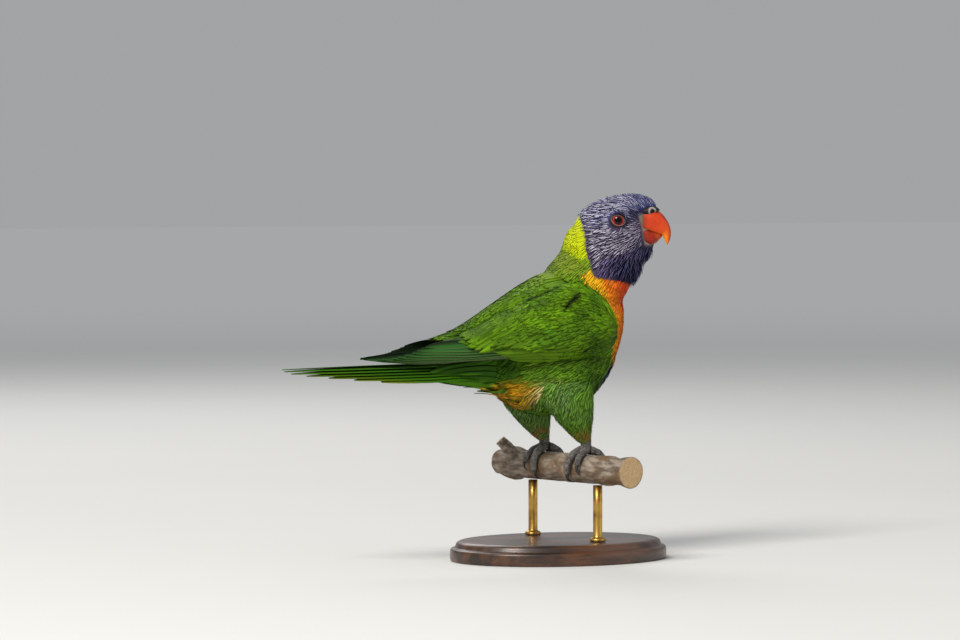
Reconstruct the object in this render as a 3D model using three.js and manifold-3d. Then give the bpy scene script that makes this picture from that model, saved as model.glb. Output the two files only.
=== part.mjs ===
// A rainbow lorikeet, life size, standing on a short cut branch that a small display stand holds up.
// Millimetres, +Z up, +X the way the body faces, +Y its left. The origin is under the middle of the base.
import * as THREE from "three";
import { mergeVertices } from "three/addons/utils/BufferGeometryUtils.js";
import Module from "manifold-3d";

const wasm = await Module();
wasm.setup();

const { degToRad: rad, lerp, clamp, smoothstep } = THREE.MathUtils;
const V = (x, y, z) => new THREE.Vector3(x, y, z);

// Driving dimensions
const gap = 0.3; // clear space between pieces that touch
const perchHeight = 50; // centre of the branch above the floor
const perchRadius = 8;
const perchLength = 112;
const perchForward = 4;
const perchTurn = rad(10); // the branch is turned a little, with its right end forward
const stance = 36; // between the two feet, along the branch
const headCentre = V(33.5, -3.5, 180);
const headTurn = rad(-38); // the head looks to the bird's right
const headPitch = rad(2);
const tailRootX = -46;
const tailLength = 120;
const tailTop = 108.5; // height of the middle pair of tail feathers
const rumpCutX = -34; // the plane that parts rump and torso
const baseSize = { long: 124, wide: 96, thick: 11 };
const rodRadius = 2.5;
const rodSpacing = 56;

// Finishes
const paint = (color, roughness = 0.8, metalness = 0) =>
  new THREE.MeshStandardMaterial({ color, roughness, metalness });
const finish = {
  hood: paint(0x3b3570),
  neck: paint(0x8fb31a),
  torso: paint(0xc8601c),
  rump: paint(0x3f8a1e),
  wing: paint(0x3c8a1c),
  tail: paint(0x2c6e1c),
  thigh: paint(0x5d8a2c),
  foot: paint(0x3a3734, 0.6),
  bill: paint(0xd94a1c, 0.35),
  cere: paint(0x33302e, 0.6),
  eye: paint(0x8a2418, 0.1),
  bark: paint(0x8a7768, 0.95),
  wood: paint(0x3a2418, 0.4),
  metal: paint(0xb08d4a, 0.3, 0.9),
};

// A smooth value between the rows of a table, each row holding its place under the key `at`, lowest first.
function between(rows, at) {
  const last = rows.length - 1;
  let i = 0;
  while (i < last - 1 && at > rows[i + 1].at) i++;
  const [a, b] = [rows[i], rows[i + 1]];
  const [before, after] = [rows[Math.max(0, i - 1)], rows[Math.min(last, i + 2)]];
  const span = b.at - a.at;
  const t = clamp((at - a.at) / span, 0, 1);
  const found = {};
  for (const key of Object.keys(a)) {
    const slopeA = (b[key] - before[key]) / (b.at - before.at);
    const slopeB = (after[key] - a[key]) / (after.at - a.at);
    found[key] =
      (2 * t ** 3 - 3 * t ** 2 + 1) * a[key] +
      (t ** 3 - 2 * t ** 2 + t) * span * slopeA +
      (3 * t ** 2 - 2 * t ** 3) * b[key] +
      (t ** 3 - t ** 2) * span * slopeB;
  }
  return found;
}

const steps = (from, to, count) =>
  Array.from({ length: count + 1 }, (_, i) => lerp(from, to, i / count));

// A closed surface as a manifold solid, turned so that its faces point out.
function solid(points, faces) {
  const geometry = new THREE.BufferGeometry().setFromPoints(points).setIndex(faces);
  const merged = mergeVertices(geometry, 1e-4);
  const triVerts = new Uint32Array(merged.index.array);
  const make = () =>
    new wasm.Manifold(
      new wasm.Mesh({ numProp: 3, vertProperties: merged.attributes.position.array, triVerts }),
    );
  const made = make();
  if (made.volume() > 0) return made;
  for (let i = 0; i < triVerts.length; i += 3)
    [triVerts[i + 1], triVerts[i + 2]] = [triVerts[i + 2], triVerts[i + 1]];
  return make();
}

// A closed surface through rings of equal count, each end closed by a fan.
function loft(rings) {
  const sides = rings[0].length;
  const points = rings.flat();
  const faces = [];
  for (let i = 0; i < rings.length - 1; i++)
    for (let j = 0; j < sides; j++) {
      const [a, b] = [i * sides + j, i * sides + ((j + 1) % sides)];
      faces.push(a, b, b + sides, a, b + sides, a + sides);
    }
  const lastRing = (rings.length - 1) * sides;
  for (const start of [0, lastRing]) {
    const middle = V(0, 0, 0);
    for (let j = 0; j < sides; j++) middle.addScaledVector(points[start + j], 1 / sides);
    points.push(middle);
    for (let j = 0; j < sides; j++) {
      const [a, b] = [start + j, start + ((j + 1) % sides)];
      faces.push(points.length - 1, ...(start ? [a, b] : [b, a]));
    }
  }
  return solid(points, faces);
}

// A closed plate between two grids of points, both faces split into triangles alike.
function plate(outer, inner) {
  const [rows, columns] = [outer.length, outer[0].length];
  const points = [...outer.flat(), ...inner.flat()];
  const below = rows * columns;
  const at = (i, j) => i * columns + j;
  const faces = [];
  for (let i = 0; i < rows - 1; i++)
    for (let j = 0; j < columns - 1; j++) {
      const [a, b, c, d] = [at(i, j), at(i, j + 1), at(i + 1, j + 1), at(i + 1, j)];
      faces.push(a, b, c, a, c, d);
      faces.push(below + a, below + c, below + b, below + a, below + d, below + c);
    }
  const wall = (a, b) => faces.push(a, below + a, below + b, a, below + b, b);
  for (let i = 0; i < rows - 1; i++) {
    wall(at(i + 1, 0), at(i, 0));
    wall(at(i, columns - 1), at(i + 1, columns - 1));
  }
  for (let j = 0; j < columns - 1; j++) {
    wall(at(0, j), at(0, j + 1));
    wall(at(rows - 1, j + 1), at(rows - 1, j));
  }
  return solid(points, faces);
}

// A tube along a curve, with its radius as a function of the share of the way.
function tube(curve, radius, count, sides) {
  const up = V(0.01, 0.02, 1);
  const rings = steps(0, 1, count).map((t) => {
    const [centre, along] = [curve.getPoint(t), curve.getTangent(t)];
    const side = up.clone().cross(along).normalize();
    const over = along.clone().cross(side);
    return steps(0, 2 * Math.PI, sides)
      .slice(0, sides)
      .map((a) =>
        centre
          .clone()
          .addScaledVector(side, radius(t) * Math.cos(a))
          .addScaledVector(over, radius(t) * Math.sin(a)),
      );
  });
  return loft(rings);
}

const ball = (centre, radius, detail) => {
  const geometry = new THREE.SphereGeometry(radius, detail, Math.round(detail / 2));
  geometry.deleteAttribute("normal");
  geometry.deleteAttribute("uv");
  const merged = mergeVertices(geometry.translate(centre.x, centre.y, centre.z), 1e-4);
  return solid(
    Array.from({ length: merged.attributes.position.count }, (_, i) =>
      V(0, 0, 0).fromBufferAttribute(merged.attributes.position, i),
    ),
    Array.from(merged.index.array),
  );
};

const join = (list) => list.reduce((whole, piece) => whole.add(piece));

// Only the largest closed surface: a sealed hollow is filled and a loose scrap dropped.
const largest = (made) =>
  made.decompose().reduce((best, piece) => (piece.volume() > best.volume() ? piece : best));

// Edges that bend the surface by less than this are merged away.
const flatness = 0.03;

const bird = new THREE.Group();
const headGroup = new THREE.Group();
headGroup.position.copy(headCentre);
headGroup.rotation.set(0, -headPitch, headTurn, "ZYX");
headGroup.updateMatrix();
bird.add(headGroup);

function node(name, made, material, parent = bird) {
  const { vertProperties, triVerts } = largest(made.asOriginal().simplify(flatness)).getMesh();
  const geometry = new THREE.BufferGeometry()
    .setAttribute("position", new THREE.BufferAttribute(vertProperties, 3))
    .setIndex(new THREE.BufferAttribute(triVerts, 1));
  geometry.computeVertexNormals();
  const mesh = new THREE.Mesh(geometry, material);
  mesh.name = name;
  parent.add(mesh);
  return mesh;
}

// Torso: upright ovals along x, each from its top height to its bottom height.
const torsoRows = [
  { at: -56, top: 106, bottom: 101, wide: 5 },
  { at: -50, top: 111, bottom: 95, wide: 10 },
  { at: -41, top: 121, bottom: 89, wide: 16 },
  { at: -30, top: 135, bottom: 83, wide: 20.5 },
  { at: -20, top: 147, bottom: 79, wide: 24.5 },
  { at: -10, top: 157, bottom: 77.5, wide: 27 },
  { at: 0, top: 161, bottom: 78.5, wide: 28 },
  { at: 10, top: 161, bottom: 81.5, wide: 27.5 },
  { at: 20, top: 160, bottom: 88, wide: 25.5 },
  { at: 29, top: 156, bottom: 99.5, wide: 21 },
  { at: 35, top: 151, bottom: 112.5, wide: 15.5 },
  { at: 39, top: 145, bottom: 126, wide: 8 },
];
function torso(from, to, grow, count = 14, sides = 20) {
  const rings = steps(from, to, count).map((x) => {
    const row = between(torsoRows, x);
    const middle = (row.top + row.bottom) / 2;
    const high = (row.top - row.bottom) / 2 + grow;
    return steps(0, 2 * Math.PI, sides)
      .slice(0, sides)
      .map((a) => V(x, (row.wide + grow) * Math.cos(a), middle + high * Math.sin(a)));
  });
  return loft(rings);
}
const torsoBack = torsoRows[0].at;
const torsoFront = torsoRows.at(-1).at;

// Neck: ovals across a path that climbs from the torso into the head.
const neckRows = [
  { at: 0, x: 10, y: 0, z: 133, back: 25, front: 24, side: 26, pitch: 52, turn: 0 },
  { at: 1, x: 16, y: 0, z: 145, back: 27, front: 22, side: 24, pitch: 58, turn: -6 },
  { at: 2, x: 24, y: -1, z: 156, back: 26, front: 21, side: 21, pitch: 62, turn: -16 },
  { at: 3, x: 29.5, y: -2.4, z: 167, back: 27, front: 21.5, side: 18.5, pitch: 62, turn: -28 },
  { at: 4, x: 32.5, y: -3.2, z: 176, back: 21, front: 17, side: 15, pitch: 62, turn: -40 },
];
function neck(grow, count = 8, sides = 20) {
  const rings = steps(0, neckRows.at(-1).at, count).map((at) => {
    const row = between(neckRows, at);
    const frame = new THREE.Matrix4().makeRotationFromEuler(
      new THREE.Euler(0, -rad(row.pitch), rad(row.turn), "ZYX"),
    );
    return steps(0, 2 * Math.PI, sides)
      .slice(0, sides)
      .map((a) => {
        const reach = Math.sin(a) > 0 ? row.back : row.front;
        return V(0, (row.side + grow) * Math.cos(a), (reach + grow) * Math.sin(a))
          .applyMatrix4(frame)
          .add(V(row.x, row.y, row.z));
      });
  });
  return loft(rings);
}

// Head, in its own frame: +X towards the bill, +Z up. Upright ovals along x.
const headRows = [
  { at: -23.5, up: 2.5, down: 3, wide: 3, mid: 0 },
  { at: -21, up: 8.5, down: 9.5, wide: 8.5, mid: -0.5 },
  { at: -15, up: 13.6, down: 15, wide: 13, mid: -0.5 },
  { at: -6, up: 17.6, down: 18.5, wide: 15.6, mid: -0.5 },
  { at: 3, up: 19.6, down: 20, wide: 16, mid: -1 },
  { at: 10, up: 20.4, down: 20, wide: 13.8, mid: -1 },
  { at: 16, up: 19.6, down: 17, wide: 9, mid: -1.5 },
  { at: 20, up: 16.8, down: 13.5, wide: 6.2, mid: -1.5 },
  { at: 22.5, up: 11.5, down: 8, wide: 3.8, mid: -1 },
];
function head(grow, place = (p) => p, count = 14, sides = 20) {
  const rings = steps(headRows[0].at, headRows.at(-1).at, count).map((x) => {
    const row = between(headRows, x);
    const atEnd = x === headRows[0].at ? -grow : x === headRows.at(-1).at ? grow : 0;
    return steps(0, 2 * Math.PI, sides)
      .slice(0, sides)
      .map((a) => {
        const high = Math.sin(a) > 0 ? row.up : row.down;
        return place(
          V(x + atEnd, (row.wide + grow) * Math.cos(a), row.mid + (high + grow) * Math.sin(a)),
        );
      });
  });
  return loft(rings);
}
const inWorld = (p) => p.applyMatrix4(headGroup.matrix);

// Bill: each row pairs a point on the ridge with one on the cutting edge, both in the head's side view.
const upperBillRows = [
  { at: 0, ridgeX: 16.5, ridgeZ: 10, edgeX: 16, edgeZ: -0.8, wide: 6.2 },
  { at: 1, ridgeX: 21.2, ridgeZ: 10, edgeX: 19, edgeZ: -1.7, wide: 5.8 },
  { at: 2, ridgeX: 25.3, ridgeZ: 8, edgeX: 21.6, edgeZ: -2.7, wide: 5 },
  { at: 3, ridgeX: 28.2, ridgeZ: 4.5, edgeX: 24.2, edgeZ: -3.6, wide: 4.2 },
  { at: 4, ridgeX: 30.1, ridgeZ: 0.4, edgeX: 25.9, edgeZ: -4.3, wide: 3.2 },
  { at: 5, ridgeX: 30.6, ridgeZ: -3.5, edgeX: 26.8, edgeZ: -6, wide: 2.3 },
  { at: 6, ridgeX: 29.9, ridgeZ: -7, edgeX: 27.5, edgeZ: -8, wide: 1.4 },
  { at: 7, ridgeX: 28.6, ridgeZ: -9.8, edgeX: 28.2, edgeZ: -9.7, wide: 0.3 },
];
const lowerBillRows = [
  { at: 0, ridgeX: 15.5, ridgeZ: -0.8, edgeX: 17.4, edgeZ: -9.4, wide: 5.5 },
  { at: 1, ridgeX: 18.6, ridgeZ: -1.6, edgeX: 19.9, edgeZ: -9.6, wide: 5.2 },
  { at: 2, ridgeX: 21.6, ridgeZ: -2.7, edgeX: 22.4, edgeZ: -8.7, wide: 4.4 },
  { at: 3, ridgeX: 24.1, ridgeZ: -3.8, edgeX: 24.4, edgeZ: -7, wide: 3.2 },
  { at: 4, ridgeX: 25.7, ridgeZ: -4.5, edgeX: 25.8, edgeZ: -5.3, wide: 1.6 },
];
function bill(rows, grow, count, sides = 14) {
  const rings = steps(0, rows.at(-1).at, count).map((at) => {
    const row = between(rows, at);
    const [ridge, edge] = [V(row.ridgeX, 0, row.ridgeZ), V(row.edgeX, 0, row.edgeZ)];
    const middle = ridge.clone().lerp(edge, 0.5);
    const half = ridge.clone().sub(edge).multiplyScalar(0.5);
    half.setLength(half.length() + grow);
    return steps(0, 2 * Math.PI, sides)
      .slice(0, sides)
      .map((a) =>
        middle
          .clone()
          .addScaledVector(half, Math.sin(a))
          .add(V(0, (row.wide + grow) * Math.cos(a), 0)),
      );
  });
  return loft(rings);
}

// Cere: a low saddle over the root of the bill, with a raised ring round each nostril.
const nostril = { x: 21.2, z: 9, side: 4.8, ring: 1.8, lip: 0.75, hole: 1 };
function cere() {
  const rows = [
    { at: 15, up: 11.8, down: 5, wide: 6.7 },
    { at: 18, up: 12.4, down: 5.6, wide: 6.6 },
    { at: 21, up: 12.2, down: 6.6, wide: 6 },
    { at: 23.4, up: 11.2, down: 7.9, wide: 4.6 },
    { at: 24.6, up: 10, down: 8.8, wide: 2.4 },
  ];
  const rings = steps(rows[0].at, rows.at(-1).at, 5).map((x) => {
    const row = between(rows, x);
    const [middle, high] = [(row.up + row.down) / 2, (row.up - row.down) / 2];
    return steps(0, 2 * Math.PI, 14)
      .slice(0, 14)
      .map((a) => V(x, row.wide * Math.cos(a), middle + high * Math.sin(a)));
  });
  let made = loft(rings);
  for (const side of [-1, 1]) {
    const centre = V(nostril.x, side * nostril.side, nostril.z);
    const out = V(0.18, side, 0.3).normalize();
    made = made.add(ringSolid(centre, out, nostril.ring, nostril.lip, 12, 6));
    const [inside, outside] = [-1.8, 2.4].map((d) => centre.clone().addScaledVector(out, d));
    made = made.subtract(tube(new THREE.LineCurve3(inside, outside), () => nostril.hole, 1, 10));
  }
  return made;
}

// A ring of round section about an axis.
function ringSolid(centre, axis, ring, lip, around, sides) {
  const side = V(0.3, 0.1, 1).cross(axis).normalize();
  const over = axis.clone().cross(side);
  const points = [];
  const faces = [];
  for (let i = 0; i < around; i++) {
    const a = (2 * Math.PI * i) / around;
    const out = side.clone().multiplyScalar(Math.cos(a)).addScaledVector(over, Math.sin(a));
    for (let j = 0; j < sides; j++) {
      const b = (2 * Math.PI * j) / sides;
      points.push(
        centre
          .clone()
          .addScaledVector(out, ring + lip * Math.cos(b))
          .addScaledVector(axis, lip * Math.sin(b)),
      );
      const [p, q] = [i * sides + j, i * sides + ((j + 1) % sides)];
      const next = (n) => (n + sides) % (around * sides);
      faces.push(p, q, next(q), p, next(q), next(p));
    }
  }
  return solid(points, faces);
}

// Eyes, in the head's frame.
const eye = { x: 3.5, z: 4.2, side: 11.9, ball: 4.5, lidRing: 3.75, lid: 0.8 };
const eyeCentre = (side) => V(eye.x, side * eye.side, eye.z);
const eyeAxis = (side) => V(0.12, side, 0.08).normalize();

function buildHead() {
  const upper = bill(upperBillRows, 0, 14);
  const lower = bill(lowerBillRows, 0, 8);
  const saddle = cere();
  let skull = head(0);
  for (const side of [-1, 1]) {
    const lidCentre = eyeCentre(side).addScaledVector(eyeAxis(side), 2.9);
    skull = skull.add(ringSolid(lidCentre, eyeAxis(side), eye.lidRing, eye.lid, 14, 6));
    skull = skull.subtract(ball(eyeCentre(side), eye.ball + gap, 16));
    const name = side < 0 ? "eye_right" : "eye_left";
    node(name, ball(eyeCentre(side), eye.ball, 16), finish.eye, headGroup);
  }
  skull = skull.subtract(bill(upperBillRows, gap, 14)).subtract(bill(lowerBillRows, gap, 8));
  const cut = [
    [15, 12.4 + gap, 5 - gap, 7 + gap],
    [24.6 + gap, 13 + gap, 5 - gap, 7 + gap],
  ];
  const box = cut.map(([x, up, down, wide]) =>
    steps(0, 2 * Math.PI, 16)
      .slice(0, 16)
      .map((a) => V(x, wide * Math.cos(a), (up + down) / 2 + ((up - down) / 2) * Math.sin(a))),
  );
  skull = skull.subtract(loft(box));
  node("head", skull, finish.hood, headGroup);
  node("cere", saddle.subtract(bill(upperBillRows, gap, 14)), finish.cere, headGroup);
  node("bill_upper", upper.subtract(bill(lowerBillRows, gap, 8)), finish.bill, headGroup);
  node("bill_lower", lower, finish.bill, headGroup);
}

// The bed that the folded wings lie on: an upright oval at each x, wider than the torso under it.
const wingBed = [
  { at: -120, mid: 112, wide: 8, up: 3, down: 2 },
  { at: -100, mid: 112.4, wide: 11.5, up: 5, down: 3 },
  { at: -80, mid: 113, wide: 15.5, up: 8.5, down: 4.4 },
  { at: -60, mid: 114, wide: 20, up: 12, down: 6.5 },
  { at: -40, mid: 117, wide: 26, up: 19.5, down: 11.5 },
  { at: -20, mid: 121, wide: 30.5, up: 27.5, down: 17.5 },
  { at: 0, mid: 125, wide: 32.6, up: 32, down: 22 },
  { at: 14, mid: 127, wide: 31.5, up: 30, down: 24 },
  { at: 24, mid: 128, wide: 27, up: 25, down: 21 },
];
function bedPoint(x, angle, lift, side) {
  const row = between(wingBed, x);
  const high = (angle > 0 ? row.up : row.down) + lift;
  return V(x, side * (row.wide + lift) * Math.cos(angle), row.mid + high * Math.sin(angle));
}

// The wing's lower and upper edge on the bed, as angles from level.
const wingEdges = [
  { at: -118, low: rad(-20), high: rad(20) },
  { at: -100, low: rad(-34), high: rad(48) },
  { at: -80, low: rad(-38), high: rad(66) },
  { at: -60, low: rad(-40), high: rad(76) },
  { at: -40, low: rad(-42), high: rad(76) },
  { at: -20, low: rad(-44), high: rad(66) },
  { at: 0, low: rad(-44), high: rad(53) },
  { at: 12, low: rad(-38), high: rad(30) },
  { at: 18, low: rad(-29), high: rad(8) },
  { at: 21, low: rad(-17), high: rad(-3) },
];
function wingPoint(x, share, lift, side) {
  const edge = between(wingEdges, x);
  return bedPoint(x, lerp(edge.low, edge.high, share), lift, side);
}
function wingCore(side) {
  const [outer, inner] = [[], []];
  for (const x of steps(-66, 21, 11)) {
    const row = steps(0.03, 0.97, 5);
    const deep = lerp(-6.5, -8, smoothstep(x, -60, -20));
    const full = lerp(-3.4, 0.9, smoothstep(x, -26, 0));
    outer.push(row.map((t) => wingPoint(x, t, full - 1.6 * (2 * t - 1) ** 4, side)));
    inner.push(row.map((t) => wingPoint(x, t, deep, side)));
  }
  return plate(outer, inner);
}

// How wide a vane is along its length: narrow at the root, then full, then closing to the tip.
// A higher bluntness keeps it full for longer and rounds the tip.
const vaneWidth = (s, bluntness) =>
  lerp(0.55, 1, smoothstep(s, 0, 0.35)) * Math.max(0.07, (1 - s ** bluntness) ** 0.6);

// A feather's vane: a thin cambered plate along a path of places. The shaft's place and the way out of
// the bird come from placeAt; `edges` are the distances from the shaft to either edge, and `lifts` how far
// those edges stand out, so that each vane slips under its neighbour.
function vane(placeAt, edges, lifts, bluntness, rows) {
  const [outer, inner] = [[], []];
  for (const share of steps(0, 1, rows - 1)) {
    const s = Math.sin((Math.PI / 2) * share) ** 0.9; // closer together towards the tip
    const [before, place, after] = [s - 0.01, s, s + 0.01].map((t) => placeAt(t));
    const forward = after.point.clone().sub(before.point).normalize();
    const across = place.out.clone().cross(forward).normalize();
    const out = forward.clone().cross(across).normalize();
    const width = vaneWidth(s, bluntness);
    const sink = -1.2 * (1 - smoothstep(s, 0, 0.25));
    const thick = lerp(0.6, 0.4, smoothstep(s, 0.8, 1));
    const columns = [edges[0], 0, edges[1]].map((edge, i) => {
      const lift = lerp(lifts[0], lifts[1], [0, 0.42, 1][i]) * lerp(0.4, 1, width) + sink;
      return place.point.clone().addScaledVector(across, edge * width).addScaledVector(out, lift);
    });
    outer.push(columns);
    inner.push(columns.map((point) => point.clone().addScaledVector(out, -thick)));
  }
  return plate(outer, inner);
}

// A tier of wing feathers, counted from the wing's lower edge up. Every feather's root and tip are
// given as x and as the share of the way from the wing's lower edge to its upper one, and `stack` is
// how much further out each feather lies than the one below it.
const wingTiers = [
  {
    name: "primaries", count: 6, rows: 7, blunt: 2.6, wide: 10, lifts: [-5, -5.2], stack: 0.68,
    rootX: [-18, -34], rootShare: [0.1, 0.42], tipX: [-119, -88], tipShare: [0.25, 0.8],
  },
  {
    name: "secondaries", count: 8, rows: 6, blunt: 5, wide: 9.5, lifts: [0, -1.3], stack: 0,
    rootX: [-8, -24], rootShare: [0.12, 0.8], tipX: [-42, -74], tipShare: [0.12, 0.84],
  },
  {
    name: "greater coverts", count: 7, rows: 5, blunt: 5, wide: 9.5, lifts: [1.8, 0.5], stack: 0,
    rootX: [0, -16], rootShare: [0.12, 0.84], tipX: [-16, -44], tipShare: [0.08, 0.84],
  },
];
function wing(side) {
  const pieces = [wingCore(side)];
  for (const tier of wingTiers)
    for (const [i, f] of steps(0, 1, tier.count - 1).entries()) {
      const wobble = 0.8 * Math.sin(i * 2.7 + side);
      const placeAt = (s) => {
        const x = lerp(lerp(...tier.rootX, f), lerp(...tier.tipX, f) + wobble, s);
        const share = lerp(lerp(...tier.rootShare, f), lerp(...tier.tipShare, f), s ** 0.8 || 0);
        const point = wingPoint(x, share, 0, side);
        const out = wingPoint(x, share, 2, side).sub(point).normalize();
        return { point, out: out.lerp(V(0, side, 0.2), smoothstep(-x, 60, 90) * 0.7) };
      };
      const edges = [-0.5 * side * tier.wide, 0.5 * side * tier.wide];
      const lifts = tier.lifts.map((lift) => lift + tier.stack * i);
      pieces.push(vane(placeAt, edges, lifts, tier.blunt, tier.rows));
    }
  return join(pieces);
}

// Tail: six pairs of narrow pointed vanes, the middle pair on top and longest, rooted in a short wedge.
const tailPair = { shorter: [0, 3, 11, 23, 37, 52], drop: 1.25, spread: 2.1, wide: 12, roll: 6 };
function tail() {
  const rows = [
    { at: -66, wide: 4, top: tailTop - 1, bottom: tailTop - 5.5 },
    { at: -58, wide: 8, top: tailTop - 0.4, bottom: tailTop - 7.4 },
    { at: tailRootX, wide: 9, top: tailTop - 0.4, bottom: tailTop - 7.6 },
  ];
  const rings = steps(rows[0].at, rows.at(-1).at, 3).map((x) => {
    const row = between(rows, x);
    return steps(0, 2 * Math.PI, 12)
      .slice(0, 12)
      .map((a) => {
        const high = (row.top - row.bottom) / 2;
        return V(x, row.wide * Math.cos(a), (row.top + row.bottom) / 2 + high * Math.sin(a));
      });
  });
  const pieces = [loft(rings)];
  for (const side of [-1, 1])
    for (const [k, shorter] of tailPair.shorter.entries()) {
      const roll = rad(tailPair.roll + 3 * k) * side;
      const placeAt = (s) => ({
        point: V(
          lerp(-54, tailRootX - tailLength + shorter, s),
          side * lerp(1.5 + 0.9 * k, 1.2 + tailPair.spread * k, s ** 0.7 || 0),
          tailTop - 0.5 + 0.45 * side - tailPair.drop * k - 1.5 * s * s,
        ),
        out: V(0, Math.sin(roll), Math.cos(roll)),
      });
      const half = tailPair.wide / 2;
      pieces.push(vane(placeAt, [-half * side, half * side], [0, 0], 3, 5));
    }
  return join(pieces);
}

// The long coverts over and under the root of the tail.
const tailCoverts = [
  { count: 4, rootX: -40, tipX: -76, rootZ: 91, tipZ: 95, wide: 11, fan: 4.5, out: -1 },
  { count: 3, rootX: -42, tipX: -70, rootZ: 116, tipZ: 111.5, wide: 9, fan: 3, out: 1 },
];
function coverts() {
  const pieces = [];
  for (const row of tailCoverts)
    for (const [i, f] of steps(-1, 1, row.count - 1).entries()) {
      const placeAt = (s) => ({
        point: V(
          lerp(row.rootX, row.tipX + 9 * f * f + 2 * (i % 2), s),
          f * row.fan * (1 + 0.4 * s),
          lerp(row.rootZ, row.tipZ, Math.sin((Math.PI / 2) * s)) - row.out * (1.4 * f * f + 0.8 * (i % 2)),
        ),
        out: V(0, 0.35 * f, row.out),
      });
      pieces.push(vane(placeAt, [-row.wide / 2, row.wide / 2], [0, 0], 3, 5));
    }
  return pieces;
}

// Legs: a feathered thigh that narrows to the ankle.
const footPlace = (side) => {
  const along = (stance / 2) * side;
  const [x, y] = [-along * Math.sin(perchTurn), along * Math.cos(perchTurn)];
  return V(perchForward + x, y, perchHeight + perchRadius);
};
function thigh(side, grow = 0) {
  const foot = footPlace(side);
  const rows = [
    { at: 0, x: foot.x - 0.5, y: foot.y, z: 64, long: 4.8, wide: 4.4 },
    { at: 1, x: foot.x - 4, y: foot.y, z: 70, long: 8, wide: 6.6 },
    { at: 2, x: foot.x - 8, y: foot.y * 1.02, z: 79, long: 12.6, wide: 9.2 },
    { at: 3, x: foot.x - 11.5, y: foot.y, z: 90, long: 16.5, wide: 10.5 },
    { at: 4, x: foot.x - 12, y: foot.y * 0.9, z: 101, long: 15.5, wide: 9.5 },
  ];
  const rings = steps(0, 4, 8).map((at) => {
    const row = between(rows, at);
    return steps(0, 2 * Math.PI, 16)
      .slice(0, 16)
      .map((a) =>
        V(
          row.x + (row.long + grow) * Math.cos(a),
          row.y + (row.wide + grow) * Math.sin(a),
          row.z,
        ),
      );
  });
  return loft(rings);
}

// Feet, in a frame with the branch along +Y and its centre at the origin: two toes forward, two back.
const toes = [
  { name: "third", spread: 4.2, from: 82, to: -28, radius: 2.3, claw: 8 },
  { name: "second", spread: -4.4, from: 82, to: 2, radius: 2.1, claw: 7 },
  { name: "fourth", spread: 3.6, from: 98, to: 196, radius: 2.2, claw: 7.5 },
  { name: "first", spread: -4, from: 98, to: 168, radius: 2, claw: 6.5 },
];
const tarsusTop = 64 - gap - (perchHeight + perchRadius) + perchRadius;
function foot(side) {
  const grip = (degrees, y, radius) => {
    const reach = perchRadius + gap + radius;
    return V(reach * Math.cos(rad(degrees)), y, reach * Math.sin(rad(degrees)));
  };
  const pieces = toes.map((toe) => {
    const path = steps(0, 1, 6).map((t) =>
      grip(lerp(toe.from, toe.to, t), -side * toe.spread * (0.55 + 0.6 * t), toe.radius),
    );
    const curve = new THREE.CatmullRomCurve3(path);
    const knuckles = (t) => toe.radius * (1 - 0.22 * t) * (1 + 0.05 * Math.cos(t * 18));
    const sign = Math.sign(toe.to - toe.from);
    const clawTurn = sign * THREE.MathUtils.radToDeg(toe.claw / (perchRadius + 3));
    const claw = steps(0, 1, 4).map((t) => {
      const low = lerp(toe.radius * 0.9, 0.35, t);
      return grip(toe.to + clawTurn * t - sign * 4, path[6].y, low + 1.1 * Math.sin(Math.PI * t));
    });
    return tube(curve, knuckles, 7, 7).add(
      tube(new THREE.CatmullRomCurve3(claw), (t) => lerp(toe.radius * 0.62, 0.22, t), 4, 6),
    );
  });
  const palm = new THREE.CatmullRomCurve3([
    V(-3, 0, perchRadius + gap + 2.2),
    V(0, 0, perchRadius + gap + 2.4),
    V(3, 0, perchRadius + gap + 2.2),
  ]);
  pieces.push(tube(palm, (t) => 2 + 0.8 * Math.sin(Math.PI * t), 4, 8));
  const shank = new THREE.LineCurve3(
    V(0, 0, perchRadius + gap + 2),
    V(0, 0, tarsusTop),
  );
  pieces.push(tube(shank, () => 2.9, 1, 10));
  return join(pieces);
}

// Perch: a cut length of branch with a knot and the stub of a twig.
function perch(grow, count = 16, sides = 12) {
  const curve = new THREE.LineCurve3(V(0, -perchLength / 2, 0), V(0, perchLength / 2, 0));
  const radius = (t) => {
    const y = (t - 0.5) * perchLength;
    const grip = smoothstep(Math.abs(y), 30, 40);
    return perchRadius + grow + grip * (0.7 * Math.sin(y * 0.31) + 1.2 * Math.exp(-(((y - 41) / 5) ** 2)));
  };
  return tube(curve, radius, count, sides);
}
function perchWithStub() {
  const stub = new THREE.CatmullRomCurve3([V(-2, 41, 3), V(-6, 42, 8), V(-10, 44.5, 13)]);
  return perch(0).add(tube(stub, (t) => lerp(4.4, 3, t), 3, 8));
}

// Stand: a flat oval base and two short rods up to the branch.
function standBase() {
  const [long, wide] = [baseSize.long / 2 - 2, baseSize.wide / 2 - 2];
  const outline = new THREE.Shape().absellipse(0, 0, long, wide, 0, 2 * Math.PI);
  const geometry = new THREE.ExtrudeGeometry(outline, {
    depth: baseSize.thick - 4,
    bevelSize: 2,
    bevelThickness: 2,
    bevelSegments: 1,
    curveSegments: 18,
  }).translate(0, 0, 2);
  geometry.deleteAttribute("normal");
  geometry.deleteAttribute("uv");
  const merged = mergeVertices(geometry, 1e-3);
  return solid(
    Array.from({ length: merged.attributes.position.count }, (_, i) =>
      V(0, 0, 0).fromBufferAttribute(merged.attributes.position, i),
    ),
    Array.from(merged.index.array),
  );
}

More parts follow.
